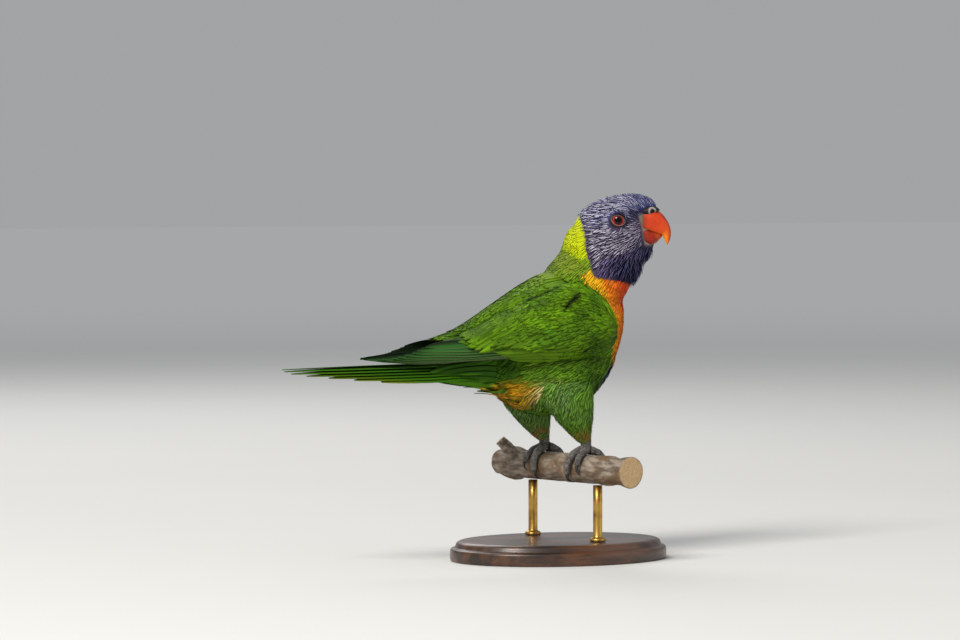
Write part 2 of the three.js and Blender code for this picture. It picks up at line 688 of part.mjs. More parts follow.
// Torso, rump and neck, each cut back from the piece that it meets.
const neckCut = neck(gap);
const headCut = head(gap, inWorld);
const thighCuts = [-1, 1].map((side) => thigh(side, gap));
let trunk = torso(rumpCutX + gap, torsoFront, 0).subtract(neckCut);
for (const cut of thighCuts) trunk = trunk.subtract(cut);
node("torso", trunk, finish.torso);
node("rump", join([torso(torsoBack, rumpCutX, 0, 8), ...coverts()]), finish.rump);
node("neck", neck(0).subtract(headCut), finish.neck);
buildHead();

const wingTorso = torso(torsoBack - gap, torsoFront, gap, 24).add(neckCut);
for (const [side, name] of [
  [-1, "right"],
  [1, "left"],
]) {
  node("wing_" + name, wing(side).subtract(wingTorso), finish.wing);
  node("thigh_" + name, thigh(side), finish.thigh);
  const footGroup = new THREE.Group();
  footGroup.position.copy(footPlace(side)).setZ(perchHeight);
  footGroup.rotation.z = perchTurn;
  bird.add(footGroup);
  node("foot_" + name, foot(side), finish.foot, footGroup);
}
node("tail", tail().subtract(torso(torsoBack - gap, rumpCutX, gap, 10)), finish.tail);

const stand = new THREE.Group();
bird.add(stand);
const perchGroup = new THREE.Group();
perchGroup.position.set(perchForward, 0, perchHeight);
perchGroup.rotation.z = perchTurn;
stand.add(perchGroup);
node("perch", perchWithStub(), finish.bark, perchGroup);
node("stand_base", standBase(), finish.wood, stand);
for (const [side, name] of [
  [-1, "right"],
  [1, "left"],
]) {
  const y = (side * rodSpacing) / 2;
  const rod = tube(
    new THREE.LineCurve3(V(0, y, baseSize.thick + gap - perchHeight), V(0, y, 0)),
    () => rodRadius,
    1,
    16,
  );
  node("stand_rod_" + name, rod.subtract(perch(gap)), finish.metal, perchGroup);
}

export default bird;
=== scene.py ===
import math

import bpy
import numpy as np
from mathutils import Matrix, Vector
from mathutils.bvhtree import BVHTree
from mathutils.kdtree import KDTree


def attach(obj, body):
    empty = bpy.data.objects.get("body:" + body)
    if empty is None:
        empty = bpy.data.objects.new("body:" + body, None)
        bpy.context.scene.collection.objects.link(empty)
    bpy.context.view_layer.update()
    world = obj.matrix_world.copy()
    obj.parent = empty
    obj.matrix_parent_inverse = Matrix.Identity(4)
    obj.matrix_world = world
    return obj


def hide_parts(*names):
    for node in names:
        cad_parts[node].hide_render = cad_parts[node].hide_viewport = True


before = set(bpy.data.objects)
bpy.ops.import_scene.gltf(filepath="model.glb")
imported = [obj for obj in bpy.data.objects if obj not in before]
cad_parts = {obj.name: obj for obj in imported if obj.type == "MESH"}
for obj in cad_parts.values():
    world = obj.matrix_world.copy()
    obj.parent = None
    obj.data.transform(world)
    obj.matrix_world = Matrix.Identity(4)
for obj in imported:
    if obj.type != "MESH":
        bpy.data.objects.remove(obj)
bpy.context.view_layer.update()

# Lengths in this file are millimetres until a mesh is made, and angles are degrees.
metre = 0.001
draw = np.random.default_rng(11)
bothSides = ((-1, "right"), (1, "left"))


# Eased step: 0 below low, 1 above high.
def ease(x, low, high):
    t = np.clip((np.asarray(x, float) - low) / (high - low), 0, 1)
    return t * t * (3 - 2 * t)


def mix(a, b, t):
    return a + (b - a) * t


def unit(v):
    return v / np.maximum(np.linalg.norm(v, axis=-1, keepdims=True), 1e-9)


# Points from their x, y and z, which may be numbers or arrays that fit one another.
def xyz(x, y, z):
    return np.stack(np.broadcast_arrays(x, y, z), -1)


# Angles once round a circle.
def circle(count):
    return np.linspace(0, 2 * np.pi, count, endpoint=False)


# Every key of the rows at the places asked for, on a smooth curve whose slope at a row is that
# between its two neighbours.
def between(rows, at):
    knots = np.array(rows["at"], float)
    at = np.clip(np.asarray(at, float), knots[0], knots[-1])
    i = np.clip(np.searchsorted(knots, at, side="right") - 1, 0, len(knots) - 2)
    span = knots[i + 1] - knots[i]
    t = (at - knots[i]) / span
    wideKnots = np.r_[knots[0], knots, knots[-1]]
    found = {}
    for key, listed in rows.items():
        v = np.array(listed, float)
        wide = np.r_[v[0], v, v[-1]]
        slope = (wide[2:] - wide[:-2]) / (wideKnots[2:] - wideKnots[:-2])
        found[key] = (
            (2 * t**3 - 3 * t**2 + 1) * v[i]
            + (t**3 - 2 * t**2 + t) * span * slope[i]
            + (3 * t**2 - 2 * t**3) * v[i + 1]
            + (t**3 - t**2) * span * slope[i + 1]
        )
    return found


# The same at evenly spaced places from the first row to the last.
def spread(rows, count):
    return between(rows, np.linspace(rows["at"][0], rows["at"][-1], count))


# The matrix that tips the x axis up by pitch, then turns it about z by turn.
def rotation(pitch, turn):
    p, t = math.radians(pitch), math.radians(turn)
    tip = np.array([[math.cos(p), 0, -math.sin(p)], [0, 1, 0], [math.sin(p), 0, math.cos(p)]])
    spin = np.array([[math.cos(t), -math.sin(t), 0], [math.sin(t), math.cos(t), 0], [0, 0, 1]])
    return spin @ tip


# Meshes


# An object made of its data and put into the scene.
def placed(name, data):
    made = bpy.data.objects.new(name, data)
    bpy.context.scene.collection.objects.link(made)
    return made


# Paints a colour on each point of a mesh, with a fourth value where it has one.
def paintMesh(mesh, tint):
    full = np.ones((len(mesh.vertices), 4), np.float32)
    full[:, : tint.shape[1]] = tint
    layer = mesh.color_attributes.new(name="tint", type="FLOAT_COLOR", domain="POINT")
    layer.data.foreach_set("color", full.ravel())


# A mesh piece from points in millimetres, lists of faces, and the maps and tint that its points carry.
def makePiece(name, points, faceSets, material, nodes=(), uvs=None, tint=None):
    mesh = bpy.data.meshes.new(name)
    corners = np.concatenate([f.ravel() for f in faceSets]).astype(np.int32)
    counts = np.concatenate([np.full(len(f), f.shape[1]) for f in faceSets])
    starts = np.r_[0, np.cumsum(counts)[:-1]].astype(np.int32)
    mesh.vertices.add(len(points))
    mesh.vertices.foreach_set("co", (points * metre).astype(np.float32).ravel())
    mesh.loops.add(len(corners))
    mesh.loops.foreach_set("vertex_index", corners)
    mesh.polygons.add(len(starts))
    mesh.polygons.foreach_set("loop_start", starts)
    mesh.polygons.foreach_set("use_smooth", np.ones(len(starts), bool))
    mesh.update(calc_edges=True)
    for key, values in (uvs or {}).items():
        layer = mesh.uv_layers.new(name=key)
        layer.data.foreach_set("uv", values[corners].astype(np.float32).ravel())
    if tint is not None:
        paintMesh(mesh, tint)
    piece = placed(name, mesh)
    mesh.materials.append(material)
    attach(piece, "root")
    if nodes:
        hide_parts(*nodes)
    return piece


# Quads over a grid of points, closed round its second direction, with a fan at either end.
def loftFaces(rows, around, start):
    i, j = np.meshgrid(np.arange(rows - 1), np.arange(around), indexing="ij")
    a = start + i * around + j
    b = start + i * around + (j + 1) % around
    quads = np.stack([a, b, b + around, a + around], -1).reshape(-1, 4)
    ring = np.arange(around)
    following = (ring + 1) % around
    first, last = start + rows * around, start + (rows - 1) * around
    caps = [
        np.stack([np.full(around, first), start + following, start + ring], -1),
        np.stack([np.full(around, first + 1), last + ring, last + following], -1),
    ]
    return quads, np.concatenate(caps)


# The points of a loft: its grid, then the middle of its first and of its last ring.
def loftPoints(grid):
    return np.concatenate([grid.reshape(-1, 3), grid[:1].mean(1), grid[-1:].mean(1)])


# A tube along a path: a ring of given radius across the path at each of its points.
def tubeGrid(path, radius, around, upward=(0.01, 0.02, 1)):
    along = unit(np.gradient(path, axis=0))
    side = unit(np.cross(np.asarray(upward, float), along))
    over = np.cross(along, side)
    a = circle(around)
    radius = np.broadcast_to(radius, (len(path),))[:, None, None]
    ring = side[:, None] * np.cos(a)[:, None] + over[:, None] * np.sin(a)[:, None]
    return path[:, None] + ring * radius


# A smooth curve through a few given points, sampled evenly in share of the way.
def curveThrough(points, count):
    x, y, z = np.array(points, float).T
    found = spread({"at": np.arange(len(points)), "x": x, "y": y, "z": z}, count)
    return xyz(found["x"], found["y"], found["z"])


# Several lofts joined as one set of points and faces.
def joinLofts(grids):
    points, quads, caps, start = [], [], [], 0
    for grid in grids:
        four, three = loftFaces(grid.shape[0], grid.shape[1], start)
        points.append(loftPoints(grid))
        quads.append(four)
        caps.append(three)
        start += len(points[-1])
    return np.concatenate(points), [np.concatenate(quads), np.concatenate(caps)]


# Materials


# A socket's value that can be added, multiplied and so on in ordinary expressions.
class Value:
    def __init__(self, finish, socket):
        self.finish = finish
        self.socket = socket

    def maths(self, operation, first, second=0.0):
        return self.finish.node("ShaderNodeMath", {"operation": operation}, {0: first, 1: second})

    def __add__(self, other):
        return self.maths("ADD", self, other)

    def __radd__(self, other):
        return self.maths("ADD", other, self)

    def __sub__(self, other):
        return self.maths("SUBTRACT", self, other)

    def __rsub__(self, other):
        return self.maths("SUBTRACT", other, self)

    def __mul__(self, other):
        return self.maths("MULTIPLY", self, other)

    def __rmul__(self, other):
        return self.maths("MULTIPLY", other, self)

    def sine(self):
        return self.maths("SINE", self)

    def absolute(self):
        return self.maths("ABSOLUTE", self)

    def eased(self, low, high):
        settings = {"interpolation_type": "SMOOTHSTEP"}
        return self.finish.node("ShaderNodeMapRange", settings, {0: self, 1: low, 2: high})


# One material: a shader whose unvarying values are set on it, and nodes that feed the rest.
class Finish:
    def __init__(self, name, **constants):
        self.material = bpy.data.materials.new(name)
        self.material.use_nodes = True
        self.tree = self.material.node_tree
        self.shader = self.tree.nodes["Principled BSDF"]
        for key, value in constants.items():
            self.shader.inputs[key.replace("_", " ")].default_value = value

    # A node of any type: its settings, its sockets' values or links, and which output is wanted.
    def node(self, kind, settings=None, inputs=None, output=0):
        made = self.tree.nodes.new(kind)
        for key, value in (settings or {}).items():
            if key == "stops":
                while len(made.color_ramp.elements) < len(value):
                    made.color_ramp.elements.new(0.5)
                for element, (place, colour) in zip(made.color_ramp.elements, value):
                    element.position = place
                    element.color = (*colour, 1)
            else:
                setattr(made, key, value)
        for key, value in (inputs or {}).items():
            if isinstance(value, Value):
                self.tree.links.new(value.socket, made.inputs[key])
            else:
                made.inputs[key].default_value = value
        return Value(self, made.outputs[output])

    def feed(self, name, value):
        self.tree.links.new(value.socket, self.shader.inputs[name])

    def colours(self, first, second, factor):
        first = first if isinstance(first, Value) else (*first, 1)
        second = second if isinstance(second, Value) else (*second, 1)
        inputs = {0: factor, 6: first, 7: second}
        return self.node("ShaderNodeMix", {"data_type": "RGBA"}, inputs, 2)

    def shade(self, colour, amount):
        return self.node("ShaderNodeVectorMath", {"operation": "SCALE"}, {0: colour, "Scale": amount})

    # The colour painted on the points, or with output 1 the paint's fourth value.
    def paint(self, output=0):
        return self.node("ShaderNodeVertexColor", {"layer_name": "tint"}, None, output)

    def place(self):
        return self.node("ShaderNodeTexCoord", output=3)

    def stretched(self, scale, turn=(0, 0, 0)):
        return self.node("ShaderNodeMapping", None, {"Vector": self.place(), "Scale": scale, "Rotation": turn})

    def noise(self, scale, detail, vector=None):
        inputs = {"Vector": vector or self.place(), "Scale": scale, "Detail": detail}
        return self.node("ShaderNodeTexNoise", None, inputs)

    # A map's two directions, across and along.
    def across(self, layer):
        vector = {"Vector": self.node("ShaderNodeUVMap", {"uv_map": layer})}
        return [self.node("ShaderNodeSeparateXYZ", None, vector, axis) for axis in (0, 1)]

    def bump(self, height, distance, strength):
        inputs = {"Height": height, "Distance": distance, "Strength": strength}
        self.feed("Normal", self.node("ShaderNodeBump", None, inputs))


# A colour as it looks on a screen, 0 to 255, turned into linear light.
def screen(*rgb):
    c = np.array(rgb, float) / 255
    return np.where(c <= 0.04045, c / 12.92, ((c + 0.055) / 1.055) ** 2.4)


# A soft noise from 0 to 1 with lumps of the given size, eased between random values on a lattice.
lattice = draw.random((24, 24, 24))


def cloud(points, size, shift=0.0):
    p = np.asarray(points, float) / size + 57.3 + shift
    i = np.floor(p).astype(int)
    f = p - i
    f = f * f * (3 - 2 * f)
    total = 0
    for corner in np.ndindex(2, 2, 2):
        weight = np.prod(np.where(np.array(corner), f, 1 - f), axis=-1)
        a, b, c = np.moveaxis((i + corner) % len(lattice), -1, 0)
        total = total + weight * lattice[a, b, c]
    return total


# Body shape, the same rows as the solids'
headPlace = np.array([33.5, -3.5, 180.0])
headTurn = -38
headPitch = 2
headFrame = rotation(headPitch, headTurn)
torsoRows = {
    "at": [-56, -50, -41, -30, -20, -10, 0, 10, 20, 29, 35, 39],
    "top": [106, 111, 121, 135, 147, 157, 161, 161, 160, 156, 151, 145],
    "bottom": [101, 95, 89, 83, 79, 77.5, 78.5, 81.5, 88, 99.5, 112.5, 126],
    "wide": [5, 10, 16, 20.5, 24.5, 27, 28, 27.5, 25.5, 21, 15.5, 8],
}
neckRows = {
    "at": [0, 1, 2, 3, 4],
    "x": [10, 16, 24, 29.5, 32.5],
    "y": [0, 0, -1, -2.4, -3.2],
    "z": [133, 145, 156, 167, 176],
    "back": [25, 27, 26, 27, 21],
    "front": [24, 22, 21, 21.5, 17],
    "side": [26, 24, 21, 18.5, 15],
    "pitch": [52, 58, 62, 62, 62],
    "turn": [0, -6, -16, -28, -40],
}
headRows = {
    "at": [-23.5, -21, -15, -6, 3, 10, 16, 20, 22.5],
    "up": [2.5, 8.5, 13.6, 17.6, 19.6, 20.4, 19.6, 16.8, 11.5],
    "down": [3, 9.5, 15, 18.5, 20, 20, 17, 13.5, 8],
    "wide": [3, 8.5, 13, 15.6, 16, 13.8, 9, 6.2, 3.8],
    "mid": [0, -0.5, -0.5, -0.5, -1, -1, -1.5, -1.5, -1],
}
wingBed = {
    "at": [-120, -100, -80, -60, -40, -20, 0, 14, 24],
    "mid": [112, 112.4, 113, 114, 117, 121, 125, 127, 128],
    "wide": [8, 11.5, 15.5, 20, 26, 30.5, 32.6, 31.5, 27],
    "up": [3, 5, 8.5, 12, 19.5, 27.5, 32, 30, 25],
    "down": [2, 3, 4.4, 6.5, 11.5, 17.5, 22, 24, 21],
}
wingEdges = {
    "at": [-118, -100, -80, -60, -40, -20, 0, 12, 18, 21],
    "low": [-20, -34, -38, -40, -42, -44, -44, -38, -29, -17],
    "high": [20, 48, 66, 76, 76, 66, 53, 30, 8, -3],
}
perch = {"height": 50, "radius": 8, "length": 112, "forward": 4, "turn": 10, "stance": 36}


def inHead(points):
    return (points - headPlace) @ headFrame


def fromHead(points):
    return points @ headFrame.T + headPlace


# Upright ovals along x, between a top and a bottom height.
def torsoGrid(grow, count=60, around=64):
    row = spread(torsoRows, count)
    a = circle(around)
    middle = (row["top"] + row["bottom"]) / 2
    half = (row["top"] - row["bottom"]) / 2
    x = np.linspace(torsoRows["at"][0] - grow, torsoRows["at"][-1] + grow, count)
    y = (row["wide"] + grow)[:, None] * np.cos(a)
    return xyz(x[:, None], y, middle[:, None] + (half + grow)[:, None] * np.sin(a))


# Ovals across the neck's climbing path, each tipped back by its pitch and turned with the head.
def neckGrid(grow, count=40, around=64):
    row = spread(neckRows, count)
    a = circle(around)
    reach = np.where(np.sin(a) > 0, row["back"][:, None], row["front"][:, None])
    flat = xyz(0, (row["side"] + grow)[:, None] * np.cos(a), (reach + grow) * np.sin(a))
    frames = np.stack([rotation(p, t) for p, t in zip(row["pitch"], row["turn"])])
    centre = xyz(row["x"], row["y"], row["z"])
    return np.einsum("kij,kaj->kai", frames, flat) + centre[:, None]


# The eye's place in the head, its ball's radius, and the low mound of feathers that rings it.
eye = {"x": 3.5, "z": 4.2, "side": 11.9, "ball": 4.5, "mound": 0.9, "moundReach": 6, "moundWide": 2.6}


# A brow that stands forward over the bill, and a hollow in each side before the eye.
face = {"brow": 1.9, "browFrom": 14, "browTo": 22, "hollow": 0.38, "hollowFrom": 12.5, "hollowTo": 17.5}


# Upright ovals along the head, taller above its middle line than below it.
def headGrid(grow, count=50, around=64):
    back, front = headRows["at"][0], headRows["at"][-1]
    at = np.linspace(back, front, count)
    row = between(headRows, at)
    a = circle(around)
    high = np.where(np.sin(a) > 0, row["up"][:, None], row["down"][:, None])
    brow = face["brow"] * ease(at, face["browFrom"], face["browTo"])[:, None]
    x = np.linspace(back - grow, front + grow, count)[:, None] + brow * (np.sin(a) > -0.3)
    z = row["mid"][:, None] + (high + grow + 0.5 * brow * (np.sin(a) > 0)) * np.sin(a)
    hollow = ease(at, face["hollowFrom"], face["hollowTo"])[:, None] * np.exp(-(((z + 1.5) / 10.5) ** 4))
    y = (row["wide"] + grow)[:, None] * np.cos(a) * (1 - face["hollow"] * hollow)
    fromEye = np.hypot(x - eye["x"], z - eye["z"])
    ring = np.exp(-(((fromEye - eye["moundReach"]) / eye["moundWide"]) ** 2))
    return fromHead(xyz(x, y + eye["mound"] * ring * np.sign(np.cos(a)), z))


# Where a foot holds the branch, seen from above.
def footPlace(side):
    along = perch["stance"] / 2 * side
    turn = math.radians(perch["turn"])
    return perch["forward"] - along * math.sin(turn), along * math.cos(turn)


# Level ovals from the ankle up into the belly.
def thighGrid(side, grow, count=24, around=32):
    x, y = footPlace(side)
    rows = {
        "at": [0, 1, 2, 3, 4],
        "x": [x - 0.5, x - 4, x - 8, x - 11.5, x - 12],
        "y": [y, y, y * 1.02, y, y * 0.9],
        "z": [64, 70, 79, 90, 101],
        "long": [4.8, 8, 12.6, 16.5, 15.5],
        "wide": [4.4, 6.6, 9.2, 10.5, 9.5],
    }
    row = {key: values[:, None] for key, values in spread(rows, count).items()}
    a = circle(around)
    ovalX = row["x"] + (row["long"] + grow) * np.cos(a)
    return xyz(ovalX, row["y"] + (row["wide"] + grow) * np.sin(a), row["z"])


# A place on the folded wing's bed: x, then the share of the way from its lower to its upper edge.
def wingPoint(x, share, lift, side):
    x, share, lift = np.broadcast_arrays(np.asarray(x, float), share, lift)
    edge, bed = between(wingEdges, x), between(wingBed, x)
    angle = np.radians(mix(edge["low"], edge["high"], share))
    high = np.where(angle > 0, bed["up"], bed["down"]) + lift
    return xyz(x, side * (bed["wide"] + lift) * np.cos(angle), bed["mid"] + high * np.sin(angle))


# The wing's fleshy front with its bed of small coverts: a closed sheet over the bed, as one loft round
# its outer and its inner side.
wingFlesh = {"x": (-66, 21), "share": (0.03, 0.97), "rows": 50, "across": 32}


def wingGrid(side, sink):
    x = np.linspace(*wingFlesh["x"], wingFlesh["rows"])[:, None]
    t = np.linspace(*wingFlesh["share"], wingFlesh["across"])[None]
    full = mix(-3.4, 0.9, ease(x, -26, 0)) - 1.6 * (2 * t - 1) ** 4 - sink
    outer = wingPoint(x, t, full, side)
    inner = wingPoint(x, t, mix(-6.5, -8, ease(x, -60, -20)), side)
    grid = np.concatenate([outer, inner[:, ::-1]], 1)
    return grid if side < 0 else grid[:, ::-1]


# Markings

# The neck's centre line by height, which the markings of hood and collar follow as it twists.
centreLine = {
    "at": [100, 133, 145, 156, 167, 176, 180, 205],
    "x": [10, 10, 16, 24, 29.5, 32.5, 33.5, 33.5],
    "y": [0, 0, 0, -1, -2.4, -3.2, -3.5, -3.5],
}
# The two heights between which the neck turns, and the way that the face looks, seen from above.
twistBetween = (138, 170)
faceWay = (0.883, -0.469)


# How far the neck has turned with the head by each height.
def twist(z):
    return math.radians(headTurn) * ease(z, *twistBetween)


# Forward and up from the head's centre, with the twist of the neck taken out.
def straightened(points):
    x, y, z = np.moveaxis(points, -1, 0)
    c = between(centreLine, z)
    a = twist(z)
    back = faceWay[0] * (c["x"] - headPlace[0]) + faceWay[1] * (c["y"] - headPlace[1])
    return (x - c["x"]) * np.cos(a) + (y - c["y"]) * np.sin(a) + back, z - headPlace[2]


# Borders of the markings, by the same measures: h is forward from the head's centre, z above it. The
# breast's two borders are in the shared frame.
hoodRear = {
    "at": [-36, -30, -24.5, -18, -6.5, 1, 5.5, 8, 10, 13],
    "h": [-15.6, -15.4, -14.8, -13.2, -14.3, -16.2, -18.4, -20.6, -25, -60],
}
hoodBottom = {"at": [-60, -16, -2.7, 6, 14, 30], "z": [-26, -26.6, -28.4, -30.4, -31, -31]}
collarLow = {"at": [-60, -40, -30.5, -24.5, -17.4, -12], "z": [-4.5, -5.5, -7, -12.6, -17.5, -18]}
loresLine = {"at": [-16, -13.8, -9.8, -4.4, 1, 8, 11], "h": [19.6, 19.0, 18.2, 17.3, 16.4, 14.4, 13.6]}
breastRear = {"at": [102, 112, 120, 131, 138, 144.6, 150, 156], "x": [25, 20, 17, 17, 14, 10.5, 6, 5]}
breastLow = {"at": [-60, 0, 14, 26, 40], "z": [98, 113, 112, 105, 104]}

tones = {
    "crown": screen(84, 84, 138),
    "forehead": screen(60, 64, 126),
    "cheek": screen(92, 78, 108),
    "throat": screen(32, 31, 64),
    "hoodLow": screen(96, 84, 118),
    "lores": screen(176, 160, 148),
    "collar": screen(210, 222, 8),
    "collarEdge": screen(164, 192, 8),
    "mantle": screen(105, 150, 10),
    "mantleDeep": screen(54, 94, 6),
    "nape": screen(154, 172, 54),
    "breastRed": screen(240, 84, 28),
    "breastOrange": screen(250, 130, 22),
    "breastYellow": screen(252, 190, 22),
    "belly": screen(34, 36, 104),
    "flank": screen(104, 154, 24),
    "gold": screen(250, 168, 16),
    "cream": screen(244, 224, 150),
    "thigh": screen(104, 140, 74),
    "rump": screen(66, 116, 8),
    "ankle": screen(176, 110, 60),
}
skinRegions = ["hood", "collar", "breast", "mantle", "belly", "flank", "thigh", "rump"]
regionNumber = {name: number for number, name in enumerate(skinRegions)}


# The region of each place, as a number into skinRegions. `stray` moves its borders a little.
def regionAt(points, stray=0.0):
    x, y, z = np.moveaxis(points, -1, 0)
    h, up = straightened(points)
    h, up = h + stray, up + stray * 0.7
    low = z < between(breastLow, x)["z"] + stray
    front = (z < 155) & (x + stray > between(breastRear, z)["x"])
    middle = np.abs(y) < 7 + 0.35 * (z - 75) + 2 * stray
    legs = np.zeros(x.shape, bool)
    for side, _ in bothSides:
        footX, footY = footPlace(side)
        centreX = footX - 3 - 0.27 * (z - 66)
        legs |= (np.abs(y - footY) < 11) & (np.abs(x - centreX) < 17) & (z < 97)
    region = np.full(x.shape, regionNumber["mantle"])
    for name, where in (
        ("flank", low & (x > -34)),
        ("rump", (x < -34) & (z < 128)),
        ("breast", front & ~low),
        ("belly", low & middle & (x > -1)),
        ("collar", (up < 12) & (up > between(collarLow, h)["z"])),
        ("hood", (h > between(hoodRear, up)["h"]) & (up > between(hoodBottom, h)["z"])),
        ("thigh", legs),
    ):
        region[where] = regionNumber[name]
    return region


# Two tones, by name or mixed already, mixed by an amount for each place.
def blend(one, other, amount):
    one, other = (tones[tone] if isinstance(tone, str) else tone for tone in (one, other))
    return mix(one, other, amount[..., None])


# The colour of the plumage at each place, and in its fourth column how bright the feather shafts are.
def toneAt(points, region):
    x, _, z = np.moveaxis(points, -1, 0)
    h, up = straightened(points)
    lumps, fine = cloud(points, 9), cloud(points, 2.6, 9)
    front = ease(h + 0.35 * up, 1, 10) * ease(-up, 4, 12)
    hood = blend("cheek", "crown", ease(up - 0.3 * h, -1, 9))
    hood = blend(hood, "forehead", ease(h, 5, 14) * ease(up, 2, 9))
    hood = blend(hood, "throat", front)
    hood = blend(hood, "hoodLow", ease(-up, 13, 21) * (1 - ease(h, -6, 2)))
    hood = blend(hood, "throat", ease(-up, 13, 21) * ease(h, -8, 0))
    fromLores = between(loresLine, up)["h"] - h
    lores = (1 - ease(fromLores, 0.5, 1.7)) * ease(up, -10, -7.5) * (1 - ease(up, 6.5, 9))
    # The brow: painted shade above and before the eye, where the brow's feathers overhang; the hood is
    # darkened there and its streaks dimmed.
    brow = ease(h, 7, 11) * ease(up, 3, 6) * (1 - ease(up, 8.5, 12))
    brow = brow + np.exp(-(((up - 9.3) / 1.1) ** 2)) * (h > 0)
    fromEye = np.hypot((h - eye["x"] - 0.2) / 1.2, up - eye["z"])
    hood = hood * mix(1, 0.5, np.clip(brow, 0, 1))[..., None]
    hood = hood * mix(0.22, 1, ease(fromEye, 3.6, 4.7))[..., None]
    hood = blend(hood, "lores", lores)
    streak = 1 - 0.45 * ease(h, 5, 12) * ease(up, 2, 6) - 0.35 * ease(-up, 16, 24) * ease(h, -14, -4)
    streak = np.clip(streak - 0.45 * front - 0.4 * brow, 0.08, 1) * (1 - lores) * ease(fromEye, 3.9, 4.9)
    collar = blend("collarEdge", "collar", ease(up - between(collarLow, h)["z"], 0, 2.5))
    fromWing = x - np.maximum(between(breastRear, z)["x"], 0) + 3 * (lumps - 0.5)
    breast = blend("breastYellow", "breastOrange", ease(fromWing, 4.5, 10.5))
    breast = blend(breast, "breastRed", ease(fromWing, 12, 19))
    breast = blend(breast, "breastYellow", 0.25 * np.clip(fine * 2 - 1, 0, 1))
    breast = blend(breast, "breastRed", 0.5 * ease(-z, -124, -108))
    mantle = blend("mantle", "mantleDeep", np.clip(1.3 * lumps - 0.35, 0, 1))
    mantle = blend(mantle, "nape", 0.75 * (ease(up, -32, -20) * np.clip(2 * fine - 0.1, 0, 1)))
    belly = blend("belly", tones["belly"] * 0.55, lumps)
    pale = np.exp(-(((x + 17) / 6) ** 2) - ((z - 91.5) / 4.5) ** 2)
    under = ease(-x, 20, 27) * (1 - ease(z, 94, 100))
    flank = blend("flank", "mantleDeep", np.clip(1.5 * lumps - 0.4, 0, 1))
    # Painted shadow under the wing's lower edge: the flank is darkened to half just below it.
    flank = flank * mix(0.5, 1, ease(-z, -110, -101))[..., None]
    flank = blend(flank, "gold", np.clip(1.6 * under * (fine - 0.05), 0, 1))
    flank = blend(flank, "cream", np.clip(1.9 * pale * (fine + 0.35), 0, 1))
    thigh = blend("thigh", "flank", lumps)
    thigh = blend(thigh, "ankle", 0.8 * (1 - ease(z, 67, 74)) * ease(fine, 0.2, 0.7))
    rump = blend("rump", "mantleDeep", lumps)
    rump = blend(rump, "gold", np.clip(1.5 * under * (fine - 0.12), 0, 1))
    stacked = np.stack([hood, collar, breast, mantle, belly, flank, thigh, rump])
    colour = np.take_along_axis(stacked, region[None, ..., None], 0)[0]
    shafts = np.where(region == regionNumber["hood"], streak, 0.4)
    return np.concatenate([colour, shafts[..., None]], -1)


# Materials of the bird


# The colour painted on each vane, with a pale shaft, fine barbs, a soft dark edge that is painted
# shade where the vane curls under its neighbours, and with `rim` a thin painted shadow line along its
# very edge. The paint's fourth value says how bright the shaft is.
def plumage(name, shaft, barbs, edge, tip=0.0, roughness=0.66, shaftTone=(1, 1, 1), wide=0.2, rim=0.0):
    finish = Finish(name, Specular_IOR_Level=0.12)
    across, along = finish.across("vane")
    away = (across - 0.5).absolute() * 2
    lines = ((along - away * 0.28) * 150).sine() * 0.5 + 0.5
    shaftMask = (1 - away.eased(wide * 0.3, wide)) * finish.paint(1) * along.eased(0.0, 0.16)
    # `edge` darkens the vane towards its sides and `rim` at its outermost edge: both painted shade.
    shadeBy = 1 - lines * barbs * 0.45 - away.eased(0.5, 1.0) * edge + along.eased(0.75, 1.0) * tip
    shadeBy = shadeBy - away.eased(0.9, 1.0) * rim
    colour = finish.colours(finish.shade(finish.paint(), shadeBy), shaftTone, shaftMask * shaft)
    finish.feed("Base Color", colour)
    finish.feed("Roughness", lines * 0.14 + (roughness - 0.07))
    finish.bump(lines * 0.5 + shaftMask, 0.00008, 0.5)
    return finish.material


def skinFinish():
    finish = Finish("underSkin", Roughness=0.8, Specular_IOR_Level=0.2)
    grain = finish.noise(2200, 4)
    # Grain mottles the paint and darkens it as a whole, which is painted shade in the gaps between feathers.
    finish.feed("Base Color", finish.shade(finish.paint(), grain * 0.3 + 0.68))
    finish.bump(grain, 0.0003, 0.6)
    return finish.material


materials = {
    "skin": skinFinish(),
    "hackle": plumage("hoodHackle", 1.0, 0.2, 0.5, shaftTone=screen(240, 237, 255), wide=0.46),
    "throat": plumage("throatHackle", 0.8, 0.3, 0.4, shaftTone=screen(150, 144, 200), wide=0.4),
    "collar": plumage("collarFeather", 0.04, 0.25, 0.02, tip=0.06),
    "breast": plumage("breastFeather", 0.03, 0.35, 0.03, tip=0.04),
    "green": plumage("greenFeather", 0.05, 0.5, 0.06, shaftTone=screen(40, 66, 14)),
    "belly": plumage("bellyFeather", 0.3, 0.3, 0.12, shaftTone=screen(176, 206, 110), wide=0.4),
    "thigh": plumage("thighFeather", 0.5, 0.3, 0.12, shaftTone=screen(176, 206, 150), wide=0.4),
    # Flight vanes: `rim` paints a thin shadow line along their edges.
    "vane": plumage("flightVane", 0.7, 0.4, 0.06, roughness=0.6, shaftTone=screen(30, 38, 14), wide=0.08,
                    rim=0.6),
}

# Skin under the coat: body, neck, head, thighs and wing beds made one closed surface.
skinForm = {
    "depth": 2.2, "headDepth": 0.9, "thighDepth": 1.6, "wingDepth": 1.5, "cell": 1.15, "smoothing": 7,
    "shade": 0.7,
}


